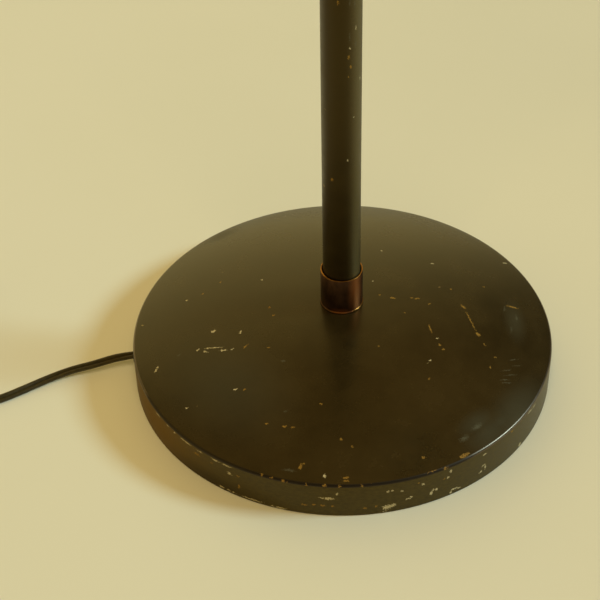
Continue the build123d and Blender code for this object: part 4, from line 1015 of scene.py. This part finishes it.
tie_section = rounded_box(TIE_WIDTH / 2, TIE_THICKNESS / 2, TIE_EDGE, 3)
inner_line = rounded_box(tie_half_width, tie_half_height, TIE_CORNER, 6)
outer_line = rounded_box(
    tie_half_width + TIE_THICKNESS, tie_half_height + TIE_THICKNESS, TIE_CORNER + TIE_THICKNESS, 6
)
tie_rings = []
for inner, outer in zip(inner_line, outer_line):
    ring = []
    for across, through in tie_section:
        share = 0.5 + through / TIE_THICKNESS
        narrow = 1 - TIE_PULL * noise.noise(Vector((*inner, 0)) / TIE_RIPPLE)
        side = inner[0] + (outer[0] - inner[0]) * share
        rise = inner[1] + (outer[1] - inner[1]) * share
        ring.append(tie_middle + tie_out * side + Vector((0, 0, rise)) + tie_along * across * min(narrow, 1))
    tie_rings.append(ring)
tie_form = ring_loft(bmesh.new(), tie_rings, True)
coil_tie = make_piece("coil_tie", tie_form, vinyl, "flex", "stand", "cord_tie")

# Plug
# Moulded on the cord's end in the same vinyl: a heel with grip ribs that swells into a flat body. Its two
# blades are bare brass.
PLUG_HEEL = (11.0, 8.0, 2.5)
PLUG_BODY = (24.0, 12.0, 3.5)
PLUG_SWELL = 13.0
PLUG_ROUND = 1.0
PLUG_RIB = 0.45
PLUG_RIBS = 4
RIB_PITCH = 2.6
RIB_START = 1.4
RING_SPACING = 0.4
plug_low, plug_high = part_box("plug_body")
plug_length = (plug_high.x - plug_low.x) / MM
plug_steps = [number * RING_SPACING for number in range(int(PLUG_SWELL / RING_SPACING) + 1)]
plug_steps += [plug_length - PLUG_ROUND]
plug_rings = []
for reach in plug_steps:
    swell = min(reach / PLUG_SWELL, 1)
    width, height, corner = (low + (high - low) * swell for low, high in zip(PLUG_HEEL, PLUG_BODY))
    rib = (reach - RIB_START) / RIB_PITCH
    groove = PLUG_RIB * (0.5 - 0.5 * math.cos(2 * math.pi * rib)) if 0 < rib < PLUG_RIBS else 0.0
    line = rounded_box(width / 2 - groove, height / 2 - groove, corner, 5)
    plug_rings.append([Vector((PLUG_BACK[0] + reach, PLUG_BACK[1] + y, PLUG_LEVEL + z)) for y, z in line])
width, height, corner = PLUG_BODY
for turn in (30, 60, 90):
    inset = PLUG_ROUND * (1 - math.cos(math.radians(turn)))
    reach = plug_length - PLUG_ROUND * (1 - math.sin(math.radians(turn)))
    line = rounded_box(width / 2 - inset, height / 2 - inset, corner - inset, 5)
    plug_rings.append([Vector((PLUG_BACK[0] + reach, PLUG_BACK[1] + y, PLUG_LEVEL + z)) for y, z in line])
plug_form = ring_loft(bmesh.new(), plug_rings, False)
plug = make_piece("moulded_plug", plug_form, vinyl, "flex", "stand", "plug_body")
dress(brass, "plug_blades")

# Flex between the base and the lampholder
# The same flex goes on out of sight: up the rod and the stem, along the arm, and down through the cup to
# the lampholder's screws.
stand_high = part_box("stand_flex")[1]
arm_low, arm_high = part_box("arm_flex")
head_low, head_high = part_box("head_flex")
BASE_BEND = 14.0
ARM_BEND = 8.0
stand_route = [EXIT, (-BASE_BEND, 0, EXIT[2]), (-1, 0, EXIT[2] + 1), (0, 0, EXIT[2] + BASE_BEND)]
stand_route.append((0, 0, stand_high.z / MM))
arm_level = arm_high.z / MM - CORD_THICKNESS / 2
arm_route = [(0, 0, arm_low.z / MM), (0.5, 0, arm_level - 0.5), (ARM_BEND, 0, arm_level)]
arm_route.append((arm_high.x / MM, 0, arm_level))
head_route = [(HEAD_X, 0, head_low.z / MM), (HEAD_X, 0, head_high.z / MM)]
run_flex("flex_in_stand", stand_route, "stand", "stand_flex")
run_flex("flex_in_arm", arm_route, "arm", "arm_flex")
run_flex("flex_in_head", head_route, "head", "head_flex")

# Floor, light and camera
# A plain cream floor. A soft light stands low on the right and a warmer, wider one high in front; a bright
# wall lies behind the lamp, and the room in front and on the right is dim.
FLOOR_SIZE = 60.0
FLOOR_MOTTLE = 400.0
floor_form = bmesh.new()
bmesh.ops.create_grid(floor_form, x_segments=1, y_segments=1, size=FLOOR_SIZE / 2)
floor_mesh = bpy.data.meshes.new("floor")
floor_form.to_mesh(floor_mesh)
floor_form.free()
floor_paint, tree, shader, place = start_material("cream_floor_paint", {"Specular IOR Level": 0.15})
mottle(tree, shader, place, FLOOR_MOTTLE, ("#E6E3D2", "#E9E6D7"), (0.7, 0.75), 0.0)
floor_mesh.materials.append(floor_paint)
floor = bpy.data.objects.new("floor", floor_mesh)
bpy.context.scene.collection.objects.link(floor)

# The lamps: name, bearing, elevation, strength, how wide it looks, colour, and if gloss mirrors it
LAMPS = [
    ("key_light", -3.0, 33.0, 1.65, 15.0, (0.66, 0.95, 1.0), True),
    ("fill_light", -92.0, 62.0, 0.96, 30.0, (1.0, 0.78, 0.41), False),
]
for name, bearing, elevation, strength, width, colour, mirrored in LAMPS:
    light = bpy.data.lights.new(name, "SUN")
    light.energy = strength
    light.angle = math.radians(width)
    light.color = colour
    lamp = bpy.data.objects.new(name, light)
    lamp.rotation_euler = (0, math.radians(90 - elevation), math.radians(bearing))
    lamp.visible_glossy = mirrored
    bpy.context.scene.collection.objects.link(lamp)

# The room round the lamp, over its dim ground: which way each part lies, how wide it fades, and its light
DIM_ROOM = (0.10, 0.075, 0.03)
ROOM = [
    ((0.0, 0.2, 1.0), (0.6, 0.9), (0.46, 0.31, 0.10)),
    ((-0.30, 0.93, 0.22), (0.60, 0.97), (0.98, 0.80, 0.32)),
    ((-1.0, -0.15, 0.12), (0.62, 0.95), (0.55, 0.42, 0.10)),
]
world = bpy.data.worlds.new("studio")
world.use_nodes = True
tree = world.node_tree
sky = add_node(tree, "TexCoord", {}).outputs["Generated"]
glow = (*DIM_ROOM, 1.0)
for way, (fade_start, fade_end), light in ROOM:
    facing = add_node(
        tree, "VectorMath", {0: sky, 1: Vector(way).normalized()}, operation="DOT_PRODUCT"
    ).outputs["Value"]
    lift = add_node(
        tree,
        "MapRange",
        {"Value": facing, "From Min": fade_start, "From Max": fade_end},
        interpolation_type="SMOOTHSTEP",
    ).outputs["Result"]
    glow = add_node(tree, "Mix", {0: lift, 6: glow, 7: (*light, 1.0)}, data_type="RGBA").outputs[2]
tree.links.new(glow, tree.nodes["Background"].inputs["Color"])
bpy.context.scene.world = world
bpy.context.scene.view_settings.view_transform = "Standard"

# The camera looks down at the base from in front of it, at the height of a standing person's hand
CAMERA_PLACE = (-28.65, -794.39, 741.45)
CAMERA_TILT = 49.286
CAMERA_ROLL = -1.446
CAMERA_LENS = 91.42
lens = bpy.data.cameras.new("camera")
lens.lens = CAMERA_LENS
lens.clip_start = 0.01
camera = bpy.data.objects.new("camera", lens)
camera.matrix_world = (
    Matrix.Translation(Vector(CAMERA_PLACE) * MM)
    @ Matrix.Rotation(math.radians(CAMERA_TILT), 4, "X")
    @ Matrix.Rotation(math.radians(CAMERA_ROLL), 4, "Z")
)
bpy.context.scene.collection.objects.link(camera)
bpy.context.scene.camera = camera
